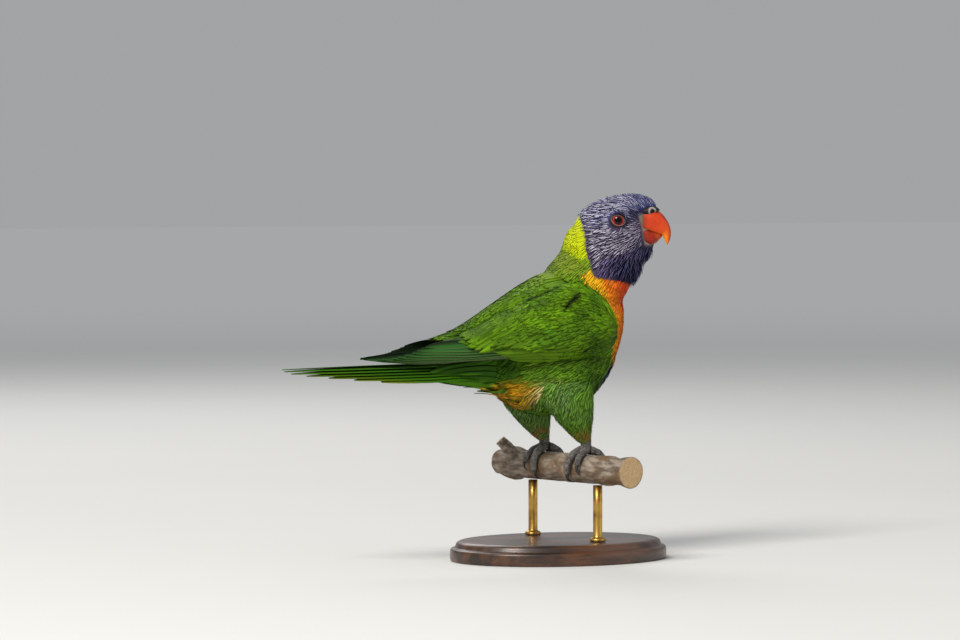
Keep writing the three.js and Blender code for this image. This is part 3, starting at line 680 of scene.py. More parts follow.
def makeSkin():
    grids = [
        torsoGrid(-skinForm["depth"]),
        neckGrid(-skinForm["depth"]),
        headGrid(-skinForm["headDepth"]),
        *[thighGrid(side, -skinForm["thighDepth"]) for side, _ in bothSides],
        *[wingGrid(side, skinForm["wingDepth"]) for side, _ in bothSides],
    ]
    points, faces = joinLofts(grids)
    covered = ["torso", "rump", "neck", "head", "thigh_left", "thigh_right", "wing_left", "wing_right"]
    piece = makePiece("skin", points, faces, materials["skin"], covered)
    remesh = piece.modifiers.new("oneSurface", "REMESH")
    remesh.mode = "VOXEL"
    remesh.voxel_size = skinForm["cell"] * metre
    smooth = piece.modifiers.new("evened", "SMOOTH")
    smooth.iterations = skinForm["smoothing"]
    bpy.context.view_layer.update()
    evaluated = piece.evaluated_get(bpy.context.evaluated_depsgraph_get())
    mesh = bpy.data.meshes.new_from_object(evaluated)
    piece.modifiers.clear()
    piece.data = mesh
    mesh.materials.clear()
    mesh.materials.append(materials["skin"])
    mesh.polygons.foreach_set("use_smooth", np.ones(len(mesh.polygons), bool))
    return piece


def meshArrays(mesh):
    points = np.empty(len(mesh.vertices) * 3, np.float32)
    mesh.vertices.foreach_get("co", points)
    normals = np.empty(len(mesh.vertices) * 3, np.float32)
    mesh.vertices.foreach_get("normal", normals)
    mesh.calc_loop_triangles()
    triangles = np.empty(len(mesh.loop_triangles) * 3, np.int32)
    mesh.loop_triangles.foreach_get("vertices", triangles)
    points = points.reshape(-1, 3).astype(float) / metre
    return points, normals.reshape(-1, 3).astype(float), triangles.reshape(-1, 3)


skin = makeSkin()
skinPoints, skinNormals, skinTriangles = meshArrays(skin.data)
# The skin is painted in the plumage's colours darkened to 0.7, as painted shade in the gaps between feathers.
paintMesh(skin.data, toneAt(skinPoints, regionAt(skinPoints))[:, :3] * skinForm["shade"])
tree = BVHTree.FromPolygons(skinPoints.tolist(), skinTriangles.tolist())
print("skin", len(skinTriangles), "triangles")


# The nearest place on the skin, and the way out of it there, for each point.
def ontoSkin(points):
    found = [tree.find_nearest(Vector(p)) for p in points.tolist()]
    places = np.array([f[0] for f in found])
    index = np.array([f[2] for f in found])
    return places, unit(skinNormals[skinTriangles[index]].mean(1))


# Feather coats

# Which way the plumage lies: back from the bill on the head and round the eyes, down the neck, back
# along the body and down the legs.
lieWays = {"bill": (21.5, 0, 2.5), "body": (-0.88, 0, -0.47), "neck": (-0.62, -0.78), "leg": (-0.15, 0, -1)}


def lie(points, normals):
    x, y, z = np.moveaxis(points, -1, 0)
    local = inHead(points)
    away = local - np.array(lieWays["bill"])
    away[:, 1] *= 1.15
    fromEye = local - np.array([eye["x"], 0, eye["z"]])
    fromEye[:, 1] = 0
    gapToEye = np.linalg.norm(fromEye, axis=1, keepdims=True)
    away = unit(away) + 0.9 * unit(fromEye) * np.exp(-((gapToEye - 4.5) / 1.3)) * (gapToEye < 9)
    level, drop = lieWays["neck"]
    neckWay = xyz(level * np.cos(twist(z)), level * np.sin(twist(z)), drop)
    onHead = ease(z + 0.25 * (x - 33), 150, 172)[:, None]
    onNeck = ease(z, 128, 150)[:, None]
    onLeg = ((1 - ease(z, 84, 98)) * (x > -28) * (np.abs(y) > 7))[:, None]
    way = mix(np.array(lieWays["body"]), neckWay, onNeck)
    way = mix(way, np.array(lieWays["leg"]), onLeg)
    way = mix(way, unit(away) @ headFrame.T, onHead)
    return unit(way - (way * normals).sum(1, keepdims=True) * normals)


# Random places on the skin, at least a spacing apart that may change from place to place.
def scatter(density, spacing, keep):
    a, b, c = (skinPoints[skinTriangles[:, k]] for k in range(3))
    normal = np.cross(b - a, c - a)
    area = np.linalg.norm(normal, axis=1) / 2
    count = draw.poisson(area * density * keep((a + b + c) / 3, unit(normal)))
    pick = np.repeat(np.arange(len(area)), count)
    u, v = draw.random((2, len(pick)))
    pick = draw.permutation(pick)
    flip = u + v > 1
    u[flip], v[flip] = 1 - u[flip], 1 - v[flip]
    places = a[pick] + (b - a)[pick] * u[:, None] + (c - a)[pick] * v[:, None]
    alive = thinned(places, np.broadcast_to(spacing(places), len(places)))
    return places[alive], unit(skinNormals[skinTriangles[pick[alive]]].mean(1))


# Which of the places, in a random order already, keep their distance from all that come before.
def thinned(places, apart):
    index = KDTree(len(places))
    for i, p in enumerate(places.tolist()):
        index.insert(p, i)
    index.balance()
    alive = np.ones(len(places), bool)
    for i, p in enumerate(places.tolist()):
        if alive[i]:
            for _, other, _ in index.find_range(p, apart[i]):
                if other > i:
                    alive[other] = False
    return alive


# Centre lines that set out from the roots and follow the lie of the coat over the skin.
def march(roots, normals, lengths, rows, sway):
    lines, outs = [roots], [normals]
    for _ in range(rows - 1):
        way = lie(lines[-1], outs[-1])
        way = unit(way + np.cross(outs[-1], way) * sway[:, None])
        place, out = ontoSkin(lines[-1] + way * (lengths / (rows - 1))[:, None])
        lines.append(place)
        outs.append(out)
    return np.stack(lines, 1), np.stack(outs, 1)


# Half-width along a vane: narrow root, full middle, and a tip that a higher bluntness makes rounder.
def vaneProfile(t, bluntness):
    return mix(0.45, 1, ease(t, 0, 0.4)) * np.maximum(0.05, (1 - t**bluntness)) ** 0.62


# Faces of a thin closed vane: a top grid and a bottom one that shares its border points.
def vaneFaces(rows, columns):
    def quads(g):
        return np.stack([g[:-1, :-1], g[:-1, 1:], g[1:, 1:], g[1:, :-1]], -1).reshape(-1, 4)

    top = np.arange(rows * columns).reshape(rows, columns)
    bottom = top.copy()
    bottom[1:-1, 1:-1] = rows * columns + np.arange((rows - 2) * (columns - 2)).reshape(rows - 2, -1)
    return np.concatenate([quads(top)[:, ::-1], quads(bottom)])


# The ways across each centre line and up from it.
def vaneAxes(lines, outs):
    along = unit(np.gradient(lines, axis=1))
    side = unit(np.cross(outs, along))
    return side, np.cross(along, side)


# Closed vanes: at each place of a grid over the vane the centre line is moved across by the half-width
# and up by the lift; the underside is the same grid sunk by the thickness. `s` and `e` are the places
# along the vane and from edge to edge.
def closedVanes(lines, axes, s, e, half, lift, thick):
    side, up = axes
    n = len(lines)
    top = lines[:, :, None] + side[:, :, None] * half[..., None] + up[:, :, None] * lift[..., None]
    under = top[:, 1:-1, 1:-1] - up[:, 1:-1, None] * thick
    points = np.concatenate([top.reshape(n, -1, 3), under.reshape(n, -1, 3)], 1)
    v, u = np.meshgrid(s, (e + 1) / 2, indexing="ij")
    uv = np.stack([u, v], -1)
    uvs = np.concatenate([uv.reshape(-1, 2), uv[1:-1, 1:-1].reshape(-1, 2)])
    return points, np.broadcast_to(uvs, (n, *uvs.shape)), vaneFaces(len(s), len(e))


# Small vanes for many feathers at once: the half-width times the profile, lowered towards its edges by
# the camber. `rise` lifts the line from its root to its tip, and `roll` turns it about itself.
def vanes(lines, outs, width, profile, camber, rise, thick, roll):
    side, up = vaneAxes(lines, outs)
    cosine, sine = np.cos(roll)[:, None, None], np.sin(roll)[:, None, None]
    axes = side * cosine + up * sine, up * cosine - side * sine
    e = np.linspace(-1, 1, 3)
    half = (width[:, None] * profile)[..., None]
    lift = rise[..., None] - camber * half * e**2
    return closedVanes(lines, axes, np.linspace(0, 1, lines.shape[1]), e, half * e, lift, thick)


# An unwrap of the body's own shape: the angle round its bent axis, and the distance along it, worked
# out for a block of points at a time.
axisPoints = curveThrough([[-170, 0, 106], [-60, 0, 106], [0, 0, 118], [14, 0, 142], [26, -2, 160],
                           [33.5, -3.5, 180], [36, -5, 205]], 80)
bake = {"patch": 0.003, "block": 4000}


def unwrap(points):
    nearest = np.empty(len(points), int)
    for start in range(0, len(points), bake["block"]):
        block = slice(start, start + bake["block"])
        nearest[block] = ((points[block, None] - axisPoints) ** 2).sum(-1).argmin(1)
    away = points - axisPoints[nearest]
    along = unit(np.gradient(axisPoints, axis=0))[nearest]
    over = np.cross(along, [0, 1.0, 0])
    angle = np.arctan2(away[:, 1], (away * over).sum(1))
    offset = (away * along).sum(1) / 300
    return np.stack([0.5 + 0.46 * angle / np.pi, 0.05 + 0.9 * nearest / len(axisPoints) + offset * 0.5], -1)


# One coat piece from vanes: its places, patterns and colours, and a small bake patch for each vane.
def makeCoat(name, points, uvs, faces, tints, finish, nodes=()):
    n, per = points.shape[:2]
    patch = np.clip(unwrap(points[:, 0])[:, None] + bake["patch"] * (uvs - 0.5), 0.001, 0.999)
    allFaces = (faces[None] + (np.arange(n) * per)[:, None, None]).reshape(-1, faces.shape[1])
    layers = {"vane": uvs.reshape(-1, 2), "OFBake": patch.reshape(-1, 2)}
    tint = np.clip(tints, 0, 1).reshape(n * per, -1)
    makePiece(name, points.reshape(-1, 3), [allFaces], materials[finish], nodes, layers, tint)
    print(name, n, "feathers,", 2 * len(allFaces), "triangles")


# A coat over one part of the skin. Every feather is coloured for where its middle lies, paler or
# darker by chance, and darker towards its root as painted shade where it lies under its neighbours.
def coat(name, where, form, finish):
    roots, normals = scatter(form["density"], form["spacing"], where)
    n, rows = len(roots), form["rows"]
    size = form["size"](roots)
    lengths = form["length"] * size * draw.uniform(0.82, 1.15, n)
    lines, outs = march(roots, normals, lengths, rows, draw.normal(0, form["sway"], n))
    t = np.linspace(0, 1, rows)
    rise = form["sunk"] + (form["rise"] * size * draw.uniform(0.75, 1.3, n))[:, None] * t
    width = form["width"] * size * draw.uniform(0.88, 1.12, n) / 2
    profile, roll = vaneProfile(t, form["blunt"]), draw.normal(0, form["roll"], n)
    points, uvs, faces = vanes(lines, outs, width, profile, form["camber"], rise, 0.08, roll)
    middle = lines[:, (2 * rows) // 3]
    region = regionAt(middle, draw.normal(0, 0.4, n))
    if form["only"]:
        region = np.full(n, regionNumber[form["only"]])
    base = toneAt(middle, region) * draw.normal(1, form["vary"], (n, 1))
    base[:, :3] *= draw.normal(1, form["vary"] * 0.35, (n, 3))
    base[:, 3] = base[:, 3] * 1.4 * draw.random(n) ** form["streaks"]
    deepen = mix(form["rootShade"], 1, ease(uvs[..., 1], 0.1, 0.8))[..., None]
    makeCoat(name, points, uvs, faces, base[:, None] * deepen, finish)


# Where small feathers grow: clear of the eyes, the bill and the parts that larger vanes cover.
bareParts = {"ankle": 63.5, "billX": 15.8, "billSide": 7.4, "billZ": (-10.5, 9.9), "eye": (3.9, 3.1)}


def growing(points):
    x, y, z = np.moveaxis(inHead(points), -1, 0)
    long, high = bareParts["eye"]
    eyeGap = np.hypot((x - eye["x"] - 0.5) / long, (z - eye["z"] - 0.2) / high)
    bare = (eyeGap < 1) & (np.abs(y) > 8)
    low, top = bareParts["billZ"]
    bill = (x > bareParts["billX"]) & (np.abs(y) < bareParts["billSide"]) & (z < top) & (z > low)
    return ~bare & ~bill & (points[:, 2] > bareParts["ankle"])


def onWing(points):
    x, y, z = np.moveaxis(points, -1, 0)
    bed = between(wingBed, x)
    edge = between(wingEdges, x)
    high = np.where(z > bed["mid"], bed["up"], bed["down"])
    sine = np.clip((z - bed["mid"]) / high, -1, 1)
    outward = np.abs(y) / bed["wide"]
    angle = np.degrees(np.arctan2(sine, outward))
    inside = (x < 20) & (x > -64) & (angle > edge["low"] + 2) & (angle < edge["high"] - 5)
    return inside & (np.hypot(outward, (z - bed["mid"]) / high) > 0.8)


def headSize(p):
    local = inHead(p)
    fromBill = np.linalg.norm(local - np.array([19, 0, 3]), axis=1)
    fromEye = np.hypot(local[:, 0] - eye["x"], local[:, 2] - eye["z"])
    return (0.66 + 0.38 * ease(fromBill, 5, 24)) * (0.7 + 0.3 * ease(fromEye, 4, 8))


# Coats of small feathers. A form's `size` and `spacing` are worked out at each place; `reach` says how
# far along a feather its end is taken, `only` which region's colours it has wherever it lies.
softForm = {
    "density": 4, "rows": 5, "blunt": 2, "camber": 0.05, "sway": 0.1, "rootShade": 1, "roll": 0.04,
    "sunk": -0.05, "reach": 0.66, "streaks": 0.8, "only": None,
}
hackleForm = {
    **softForm, "density": 5, "length": 7.6, "width": 1.4, "rows": 6, "blunt": 1.5, "camber": 0.5,
    "rise": 1.3, "sway": 0.07, "vary": 0.12, "rootShade": 0.55, "roll": 0.1, "size": headSize,
    "only": "hood", "reach": 0.9, "sunk": -0.3, "spacing": lambda p: 1.06 * headSize(p),
}
throatForm = {
    **hackleForm, "length": 8.6, "width": 1.3, "rise": 2.6, "sway": 0.13, "vary": 0.14,
    "spacing": lambda p: 1.15 * headSize(p),
    "size": lambda p: headSize(p) * mix(0.55, 1, ease(p[:, 2], 150, 161)),
}
collarForm = {
    **softForm, "density": 5, "length": 6.5, "width": 1.7, "blunt": 2.2, "rise": 0.35, "vary": 0.03,
    "roll": 0.03, "only": "collar", "size": lambda p: np.ones(len(p)), "spacing": lambda p: 0.8,
}
breastForm = {
    **softForm, "length": 7.4, "width": 1.8, "rise": 0.4, "vary": 0.035, "only": "breast", "reach": 0.95,
    "size": lambda p: mix(1.1, 0.85, ease(p[:, 2], 120, 150)), "spacing": lambda p: 0.85,
}
mantleForm = {
    **softForm, "length": 8, "width": 2.1, "camber": 0.06, "rise": 0.45, "vary": 0.07, "rootShade": 0.95,
    "size": lambda p: mix(1.15, 0.75, ease(p[:, 2], 140, 166)), "spacing": lambda p: 0.95,
}
bellyForm = {
    **breastForm, "length": 9.5, "width": 1.7, "vary": 0.13, "rise": 1.2, "rootShade": 0.85,
    "sway": 0.24, "only": None,
}
thighForm = {
    **softForm, "density": 3.2, "length": 9, "width": 1.2, "camber": 0.2, "rise": 1.0, "streaks": 2.5,
    "sway": 0.16, "vary": 0.12, "rootShade": 0.8, "roll": 0.08, "sunk": -0.15,
    "size": lambda p: mix(0.55, 1, ease(p[:, 2], 64, 84)), "spacing": lambda p: 1.0,
}


# The triangles whose feathers, rooted there, would show their outer ends in the named regions.
def part(form, *names):
    wanted = [regionNumber[name] for name in names]

    def keep(p, n):
        way = lie(p, n)
        ends = p + way * form["reach"] * form["length"] * form["size"](p)[:, None]
        clear = (regionAt(p + 1.2 * way) != regionNumber["hood"]) | ("hood" in names)
        return growing(p) & ~onWing(p) & clear & np.isin(regionAt(ends), wanted)

    return keep


# The hood's lower front, where the feathers are longer and stand off in dark points.
def throatShare(p):
    h, up = straightened(p)
    return (up < -14.5 + 0.46 * h) & (h > -15)


def hoodKeep(p, n):
    return part(hackleForm, "hood")(p, n) & ~throatShare(p)


def throatKeep(p, n):
    return part(throatForm, "hood")(p, n) & throatShare(p)


coat("breast_feathers", part(breastForm, "breast"), breastForm, "breast")
coat("belly_feathers", part(bellyForm, "belly", "flank"), bellyForm, "belly")
coat("mantle_feathers", part(mantleForm, "mantle"), mantleForm, "green")
coat("rump_feathers", part(mantleForm, "rump"), mantleForm, "green")
coat("collar_feathers", part(collarForm, "collar"), collarForm, "collar")
coat("thigh_feathers", part(thighForm, "thigh"), thighForm, "thigh")
coat("throat_hackles", throatKeep, throatForm, "throat")
coat("hood_hackles", hoodKeep, hackleForm, "hackle")

# The small and middle coverts and the scapulars: vanes on straight lines over the wing's bed. They
# reach further back on the wing's upper half, grow towards the tail, and lie steeper on the lower half.
covertForm = {
    "candidates": 60000, "rows": 6, "blunt": 2.1, "camber": 0.05, "vary": 0.09, "front": 20.9,
    "back": [-3, -50], "length": [8.5, 17], "width": [2.8, 4.6], "spacing": [1.1, 1.75],
    "steep": [27, 7], "rise": 0.4, "lift": [0.4, 0.1],
}
# Painted shadows of gaps between the coverts, each between two places on the bed: x, and the share of the way
# up.
gapShadows = [
    {"from": (-32, 0.91), "to": (-10, 0.955), "wide": 0.75},
    {"from": (-14.3, 0.66), "to": (-0.5, 0.87), "wide": 1.5},
    {"from": (-29, 0.68), "to": (-19.5, 0.63), "wide": 0.6},
    {"from": (-4, 0.6), "to": (1.5, 0.63), "wide": 0.7},
    {"from": (-3, 0.12), "to": (6, 0.27), "wide": 0.55},
    {"from": (-9, 0.12), "to": (-1, 0.25), "wide": 0.5},
]


def wingArc(x):
    edge, bed = between(wingEdges, x), between(wingBed, x)
    return np.radians(edge["high"] - edge["low"]) * (bed["wide"] + bed["up"]) / 2


def wingCoverts(side, name):
    f = covertForm
    x = draw.uniform(f["back"][1], f["front"], f["candidates"])
    share = draw.uniform(0.01, 0.99, f["candidates"])
    reach = mix(*f["back"], ease(share, 0.22, 0.62)) + draw.normal(0, 1.5, len(x))
    x, share = x[x > reach], share[x > reach]
    grow = ease(-x, -16, 44)
    alive = thinned(wingPoint(x, share, 1, side), mix(*f["spacing"], grow))
    x, share, grow = x[alive], share[alive], grow[alive]
    n = len(x)
    length = mix(*f["length"], grow) * draw.uniform(0.85, 1.15, n)
    swirl = draw.normal(0, 0.1, n) + draw.normal(0, 0.26, n) * ease(x, -4, 14)
    angle = np.radians(mix(*f["steep"], ease(share, 0.25, 0.7))) + swirl
    s = np.linspace(0, 1, f["rows"])
    lineX = x[:, None] - (length * np.cos(angle))[:, None] * s
    lineShare = np.clip(share[:, None] - (length * np.sin(angle) / wingArc(x))[:, None] * s, 0, 1)
    ground = mix(*f["lift"], grow)[:, None] - 0.5 * (1 - s)
    line = wingPoint(lineX, lineShare, ground, side)
    out = unit(wingPoint(lineX, lineShare, ground + 2, side) - line)
    rise = f["rise"] * draw.uniform(0.8, 1.25, (n, 1)) * s
    width = mix(*f["width"], grow) * draw.uniform(0.9, 1.1, n) / 2
    roll = draw.normal(0, 0.035, n)
    points, uvs, faces = vanes(line, out, width, vaneProfile(s, f["blunt"]), f["camber"], rise, 0.08, roll)
    middle = line[:, f["rows"] // 2]
    base = toneAt(middle, np.full(n, regionNumber["mantle"])) * draw.normal(1, f["vary"], (n, 1))
    base[:, :3] *= draw.normal(1, f["vary"] * 0.35, (n, 3))
    # Painted light: brighter towards the wing's upper edge, and in lumps made brighter and darker as painted
    # highlights and shade on groups of feathers.
    base[:, :3] *= mix(0.92, 1.08, ease(share, 0.3, 0.9))[:, None]
    base[:, :3] *= mix(0.78, 1.24, ease(cloud(middle, 5.5, 3), 0.25, 0.75))[:, None]
    # Darker towards the roots: painted shade under the overlying coverts.
    tints = base[:, None] * mix(0.85, 1, ease(uvs[..., 1], 0.1, 0.8))[..., None]
    # The coverts are darkened nearly to black along each gap line: painted shadow, not a parting of the
    # feathers.
    for gapShadow in gapShadows:
        a = wingPoint(*gapShadow["from"], 1, side)
        way = wingPoint(*gapShadow["to"], 1, side) - a
        t = np.clip((points - a) @ way / (way @ way), 0, 1)
        gap = np.linalg.norm(points - a - t[..., None] * way, axis=-1) + 1.6 * cloud(points, 1.5, 4) - 0.8
        wide = gapShadow["wide"] * np.sin(np.pi * mix(0.12, 0.9, t))
        tints = tints * mix(0.03, 1, ease(gap, wide * 0.75, wide * 1.3))[..., None]
    makeCoat("wing_coverts_" + name, points, uvs, faces, tints, "green", ["wing_" + name])


for side, name in bothSides:
    wingCoverts(side, name)

# The back between the wings: broad soft vanes over a ridge whose height follows the wings' upper edges.
backRows = {
    "at": [-112, -100, -80, -60, -40, -20, -8, 4],
    "high": [113, 115, 121, 128.4, 140.2, 151.2, 156.8, 159.4],
    "half": [8, 8, 6.5, 5.5, 7, 13, 17, 20],
    "drop": [1, 0.8, 1.2, 1.8, 3.2, 4.4, 7.4, 9.4],
}
backForm = {
    "candidates": 9000, "rows": 6, "half": 18, "from": -66, "to": -2, "spacing": 1.5, "length": 13,
    "width": 4, "blunt": 2.4, "camber": 0.06, "vary": 0.07,
}


# The ridge's height, which falls from its middle by the square of the way to its edge.
def backRidge(x, y):
    row = between(backRows, x)
    return row["high"] - 0.4 - row["drop"] * (y / row["half"]) ** 2


def backFeathers():
    f = backForm
    x = draw.uniform(f["from"], f["to"], f["candidates"])
    y = draw.uniform(-f["half"], f["half"], f["candidates"])
    inside = np.abs(y) < between(backRows, x)["half"]
    x, y = x[inside], y[inside]
    alive = thinned(xyz(x, y, backRidge(x, y)), np.full(len(x), f["spacing"]))
    x, y = x[alive], y[alive]
    n = len(x)
    s = np.linspace(0, 1, f["rows"])
    lineX = x[:, None] - f["length"] * draw.uniform(0.85, 1.1, (n, 1)) * s
    lineY = y[:, None] * (1 - 0.15 * s) + draw.normal(0, 0.8, (n, 1)) * s
    line = xyz(lineX, lineY, backRidge(lineX, lineY) - 0.6 * (1 - s))
    row = between(backRows, lineX)
    out = unit(xyz(0.45, 2 * row["drop"] * lineY / row["half"] ** 2, 1))
    rise = draw.uniform(0.4, 0.7, (n, 1)) * s
    width = f["width"] * draw.uniform(0.9, 1.1, n) / 2
    roll = draw.normal(0, 0.05, n)
    points, uvs, faces = vanes(line, out, width, vaneProfile(s, f["blunt"]), f["camber"], rise, 0.1, roll)
    middle = line[:, f["rows"] // 2]
    base = toneAt(middle, np.full(n, regionNumber["mantle"])) * draw.normal(1, f["vary"], (n, 1))
    # Darker towards the roots: painted shade under the overlying feathers.
    tints = base[:, None] * mix(0.72, 1, ease(uvs[..., 1], 0.1, 0.8))[..., None]
    makeCoat("back_feathers", points, uvs, faces, tints, "green")


backFeathers()

# Flight feathers and greater coverts: tiers of long vanes on the bed, each from the wing's lower edge
# up. A feather's root and tip are given as x and as the share of the way up, and `lifts` are the
# heights of its lower and upper edge.
tiers = [
    {
        "name": "primaries", "count": 9, "rows": 26, "blunt": 2.6, "wide": 8.6, "lifts": [-4.4, -5.6],
        "stack": 0.42, "rootX": [-18, -34], "rootShare": [0.08, 0.42], "tipX": [-119, -88],
        "tipShare": [0.25, 0.8], "tones": [(48, 96, 36), (20, 38, 16), (150, 168, 112)],
    },
    {
        "name": "secondaries", "count": 11, "rows": 22, "blunt": 5, "wide": 8, "lifts": [-0.7, -1.5],
        "stack": 0, "rootX": [-8, -24], "rootShare": [0.1, 0.88], "tipX": [-42, -76],
        "tipShare": [0.1, 0.9], "tones": [(90, 130, 14), (50, 84, 10), (118, 150, 30)],
    },
    {
        "name": "greater_coverts", "count": 9, "rows": 18, "blunt": 4, "wide": 6.6, "lifts": [0.4, -0.3],
        "stack": 0, "rootX": [0, -16], "rootShare": [0.08, 0.6], "tipX": [-22, -46],
        "tipShare": [0.05, 0.66], "tones": [(94, 134, 12), (60, 94, 10), (112, 150, 24)],
    },
]


# Places along a long vane, denser towards its tip.
def vaneRows(count):
    return np.sin(np.pi / 2 * np.linspace(0, 1, count)) ** 0.9


# One tier's centre lines, the ways out of them and the places along them.
def tierLines(tier, side):
    n = tier["count"]
    f = np.linspace(0, 1, n)[:, None]
    s = vaneRows(tier["rows"])
    wobble = 0.8 * np.sin(np.arange(n) * 2.7 + side)[:, None]
    x = mix(mix(*tier["rootX"], f), mix(*tier["tipX"], f) + wobble, s)
    share = mix(mix(*tier["rootShare"], f), mix(*tier["tipShare"], f), s**0.8)
    point = wingPoint(x, share, 0, side)
    out = unit(wingPoint(x, share, 2, side) - point)
    lean = (0.7 * ease(-x, 60, 90))[..., None]
    return point, unit(mix(out, np.array([0, side, 0.2]), lean)), s


# Long vanes with a shaft: the edge distance times the profile, one edge low and the other high so that
# neighbours overlap, a ridge along the shaft, and nicks along the outer edge.
def longVanes(line, out, s, wide, lifts, blunt, stack=0, columns=11, thick=0.28, sinkRoot=1.2):
    n, rows = line.shape[:2]
    e = np.linspace(-1, 1, columns)
    profile = mix(0.55, 1, ease(s, 0, 0.35)) * np.maximum(0.04, 1 - s**blunt) ** 0.6
    nicks = 1 - 0.05 * draw.random((n, rows, 1)) * np.abs(e) ** 6
    half = wide / 2 * profile[:, None] * e * nicks
    tilt = mix(lifts[0], lifts[1], (e + 1) / 2) * mix(0.4, 1, profile)[:, None]
    shaft = 0.16 * np.exp(-((e / 0.09) ** 2)) * (1 - 0.6 * s)[:, None]
    arch = -0.35 * e**2 * profile[:, None]
    sink = sinkRoot * (1 - ease(s, 0, 0.25))[:, None]
    lift = tilt + shaft + arch - sink + stack * np.arange(n)[:, None, None]
    return closedVanes(line, vaneAxes(line, out), s, e, half, lift, thick)


# Colours along a long vane: its own green, a darker inner web and tip, and a pale outer edge.
def vaneTones(uvs, tones, paleSide=1):
    main, deep, pale = (screen(*tone) for tone in tones)
    across = uvs[..., 0] if paleSide > 0 else 1 - uvs[..., 0]
    colour = blend(main, deep, ease(1 - across, 0.35, 0.75))
    colour = blend(colour, pale, ease(across, 0.92, 0.99) * 0.7)
    colour = blend(colour, deep, 0.3 * ease(uvs[..., 1], 0.85, 1))
    return colour * draw.normal(1, 0.07, (len(uvs), 1, 1))


def flightFeathers(side, name):
    for tier in tiers:
        line, out, s = tierLines(tier, side)
        lifts = tier["lifts"][::-1] if side < 0 else tier["lifts"]
        points, uvs, faces = longVanes(line, out, s, tier["wide"], lifts, tier["blunt"], tier["stack"])
        tints = vaneTones(uvs, tier["tones"], -side)
        full = "wing_" + name + "_" + tier["name"]
        makeCoat(full, points, uvs, faces, tints, "vane", ["wing_" + name])


for side, name in bothSides:
    flightFeathers(side, name)

# Tail: six pairs of pointed vanes, the middle pair on top and longest.
tailForm = {
    "shorter": [0, 3, 11, 23, 37, 52], "rootX": -54, "tipX": -166, "top": 108.5, "drop": 1.25, "spread": 2.1,
    "wide": 12, "roll": 6, "rows": 34, "blunt": 3, "tones": [(58, 110, 12), (40, 80, 14), (80, 130, 16)],
    "outer": (150, 140, 30),
}


def tailVanes():
    f = tailForm
    pairs = len(f["shorter"])
    k = np.tile(np.arange(pairs), 2)[:, None]
    side = np.repeat([-1, 1], pairs)[:, None]
    s = vaneRows(f["rows"])
    x = mix(f["rootX"], f["tipX"] + np.array(f["shorter"])[k], s)
    y = side * mix(1.5 + 0.9 * k, 1.2 + f["spread"] * k, s**0.7)
    z = f["top"] - 0.5 + 0.45 * side - f["drop"] * k - 1.5 * s**2
    roll = np.radians(f["roll"] + 3 * k) * side
    line = xyz(x, y, z)
    out = np.broadcast_to(xyz(0, np.sin(roll), np.cos(roll)), line.shape)
    points, uvs, faces = longVanes(line, out, s, f["wide"], [0, 0], f["blunt"], thick=0.3)
    tints = vaneTones(uvs, f["tones"])
    outer = k / (pairs - 1) * ease(uvs[..., 1], 0.5, 1)
    tints = blend(tints, screen(*f["outer"]), 0.5 * outer)
    makeCoat("tail_vanes", points, uvs, faces, tints, "vane", ["tail"])


tailVanes()

# Coverts under and over the root of the tail, in rows that shorten towards the body, and their paint:
# gold under green patches below, and three greens above.
tailCoverts = [
    {"count": 7, "rootX": -40, "tipX": -70, "rootZ": 92.5, "tipZ": 98.5, "wide": 8, "fan": 5, "out": -1},
    {"count": 6, "rootX": -34, "tipX": -60, "rootZ": 90, "tipZ": 95, "wide": 7.5, "fan": 6, "out": -1},
    {"count": 5, "rootX": -30, "tipX": -52, "rootZ": 88, "tipZ": 91.5, "wide": 7, "fan": 7, "out": -1},
    {"count": 5, "rootX": -42, "tipX": -70, "rootZ": 115.5, "tipZ": 110.8, "wide": 7, "fan": 4, "out": 1},
    {"count": 5, "rootX": -38, "tipX": -62, "rootZ": 119, "tipZ": 112, "wide": 7, "fan": 5.5, "out": 1},
]
undertailTones = {"gold": (250, 186, 40), "green": (86, 140, 24)}
uppertailTones = [(60, 112, 10), (50, 96, 10), (70, 124, 14)]


def tailCovertVanes():
    for number, row in enumerate(tailCoverts):
        f = np.linspace(-1, 1, row["count"])[:, None]
        odd = (np.arange(row["count"]) % 2)[:, None]
        s = vaneRows(18)
        x = mix(row["rootX"], row["tipX"] + 9 * f**2 + 2 * odd, s)
        y = f * row["fan"] * (1 + 0.4 * s)
        z = mix(row["rootZ"], row["tipZ"], np.sin(np.pi / 2 * s)) - row["out"] * (1.4 * f**2 + 0.5 * odd)
        line = xyz(x, y, z)
        out = np.broadcast_to(xyz(0, 0.5 * f, row["out"]), line.shape)
        points, uvs, faces = longVanes(line, out, s, row["wide"], [0, 0], 3.4, 0, 9, 0.25, 0.6)
        if row["out"] < 0:
            gold, green = (screen(*undertailTones[key]) for key in ("gold", "green"))
            patch = ease(cloud(points, 3.2, 2), 0.42, 0.62) * 0.85
            tints = blend(gold, green, np.clip(patch + ease(uvs[..., 1], 0.55, 0.8), 0, 1))
            tints = tints * mix(0.45, 1, ease(cloud(points, 2.4, 6), 0.3, 0.55))[..., None]
            tints = tints * draw.normal(1, 0.05, (len(uvs), 1, 1))
        else:
            tints = vaneTones(uvs, uppertailTones)
        makeCoat("tail_coverts_" + str(number), points, uvs, faces, tints, "vane")


tailCovertVanes()

# Coverts at either side of the root of the tail: they start on the rump, one above another, and close
# the body to the tail.
sideCoverts = {
    "count": 6, "rootX": -34, "tipX": -84, "rootSide": 11.5, "tipSide": 8.5, "rootZ": [96, 116],
    "tipZ": [99.5, 107], "wide": 8.5, "tones": [(70, 122, 12), (46, 88, 10), (84, 132, 18)],
}


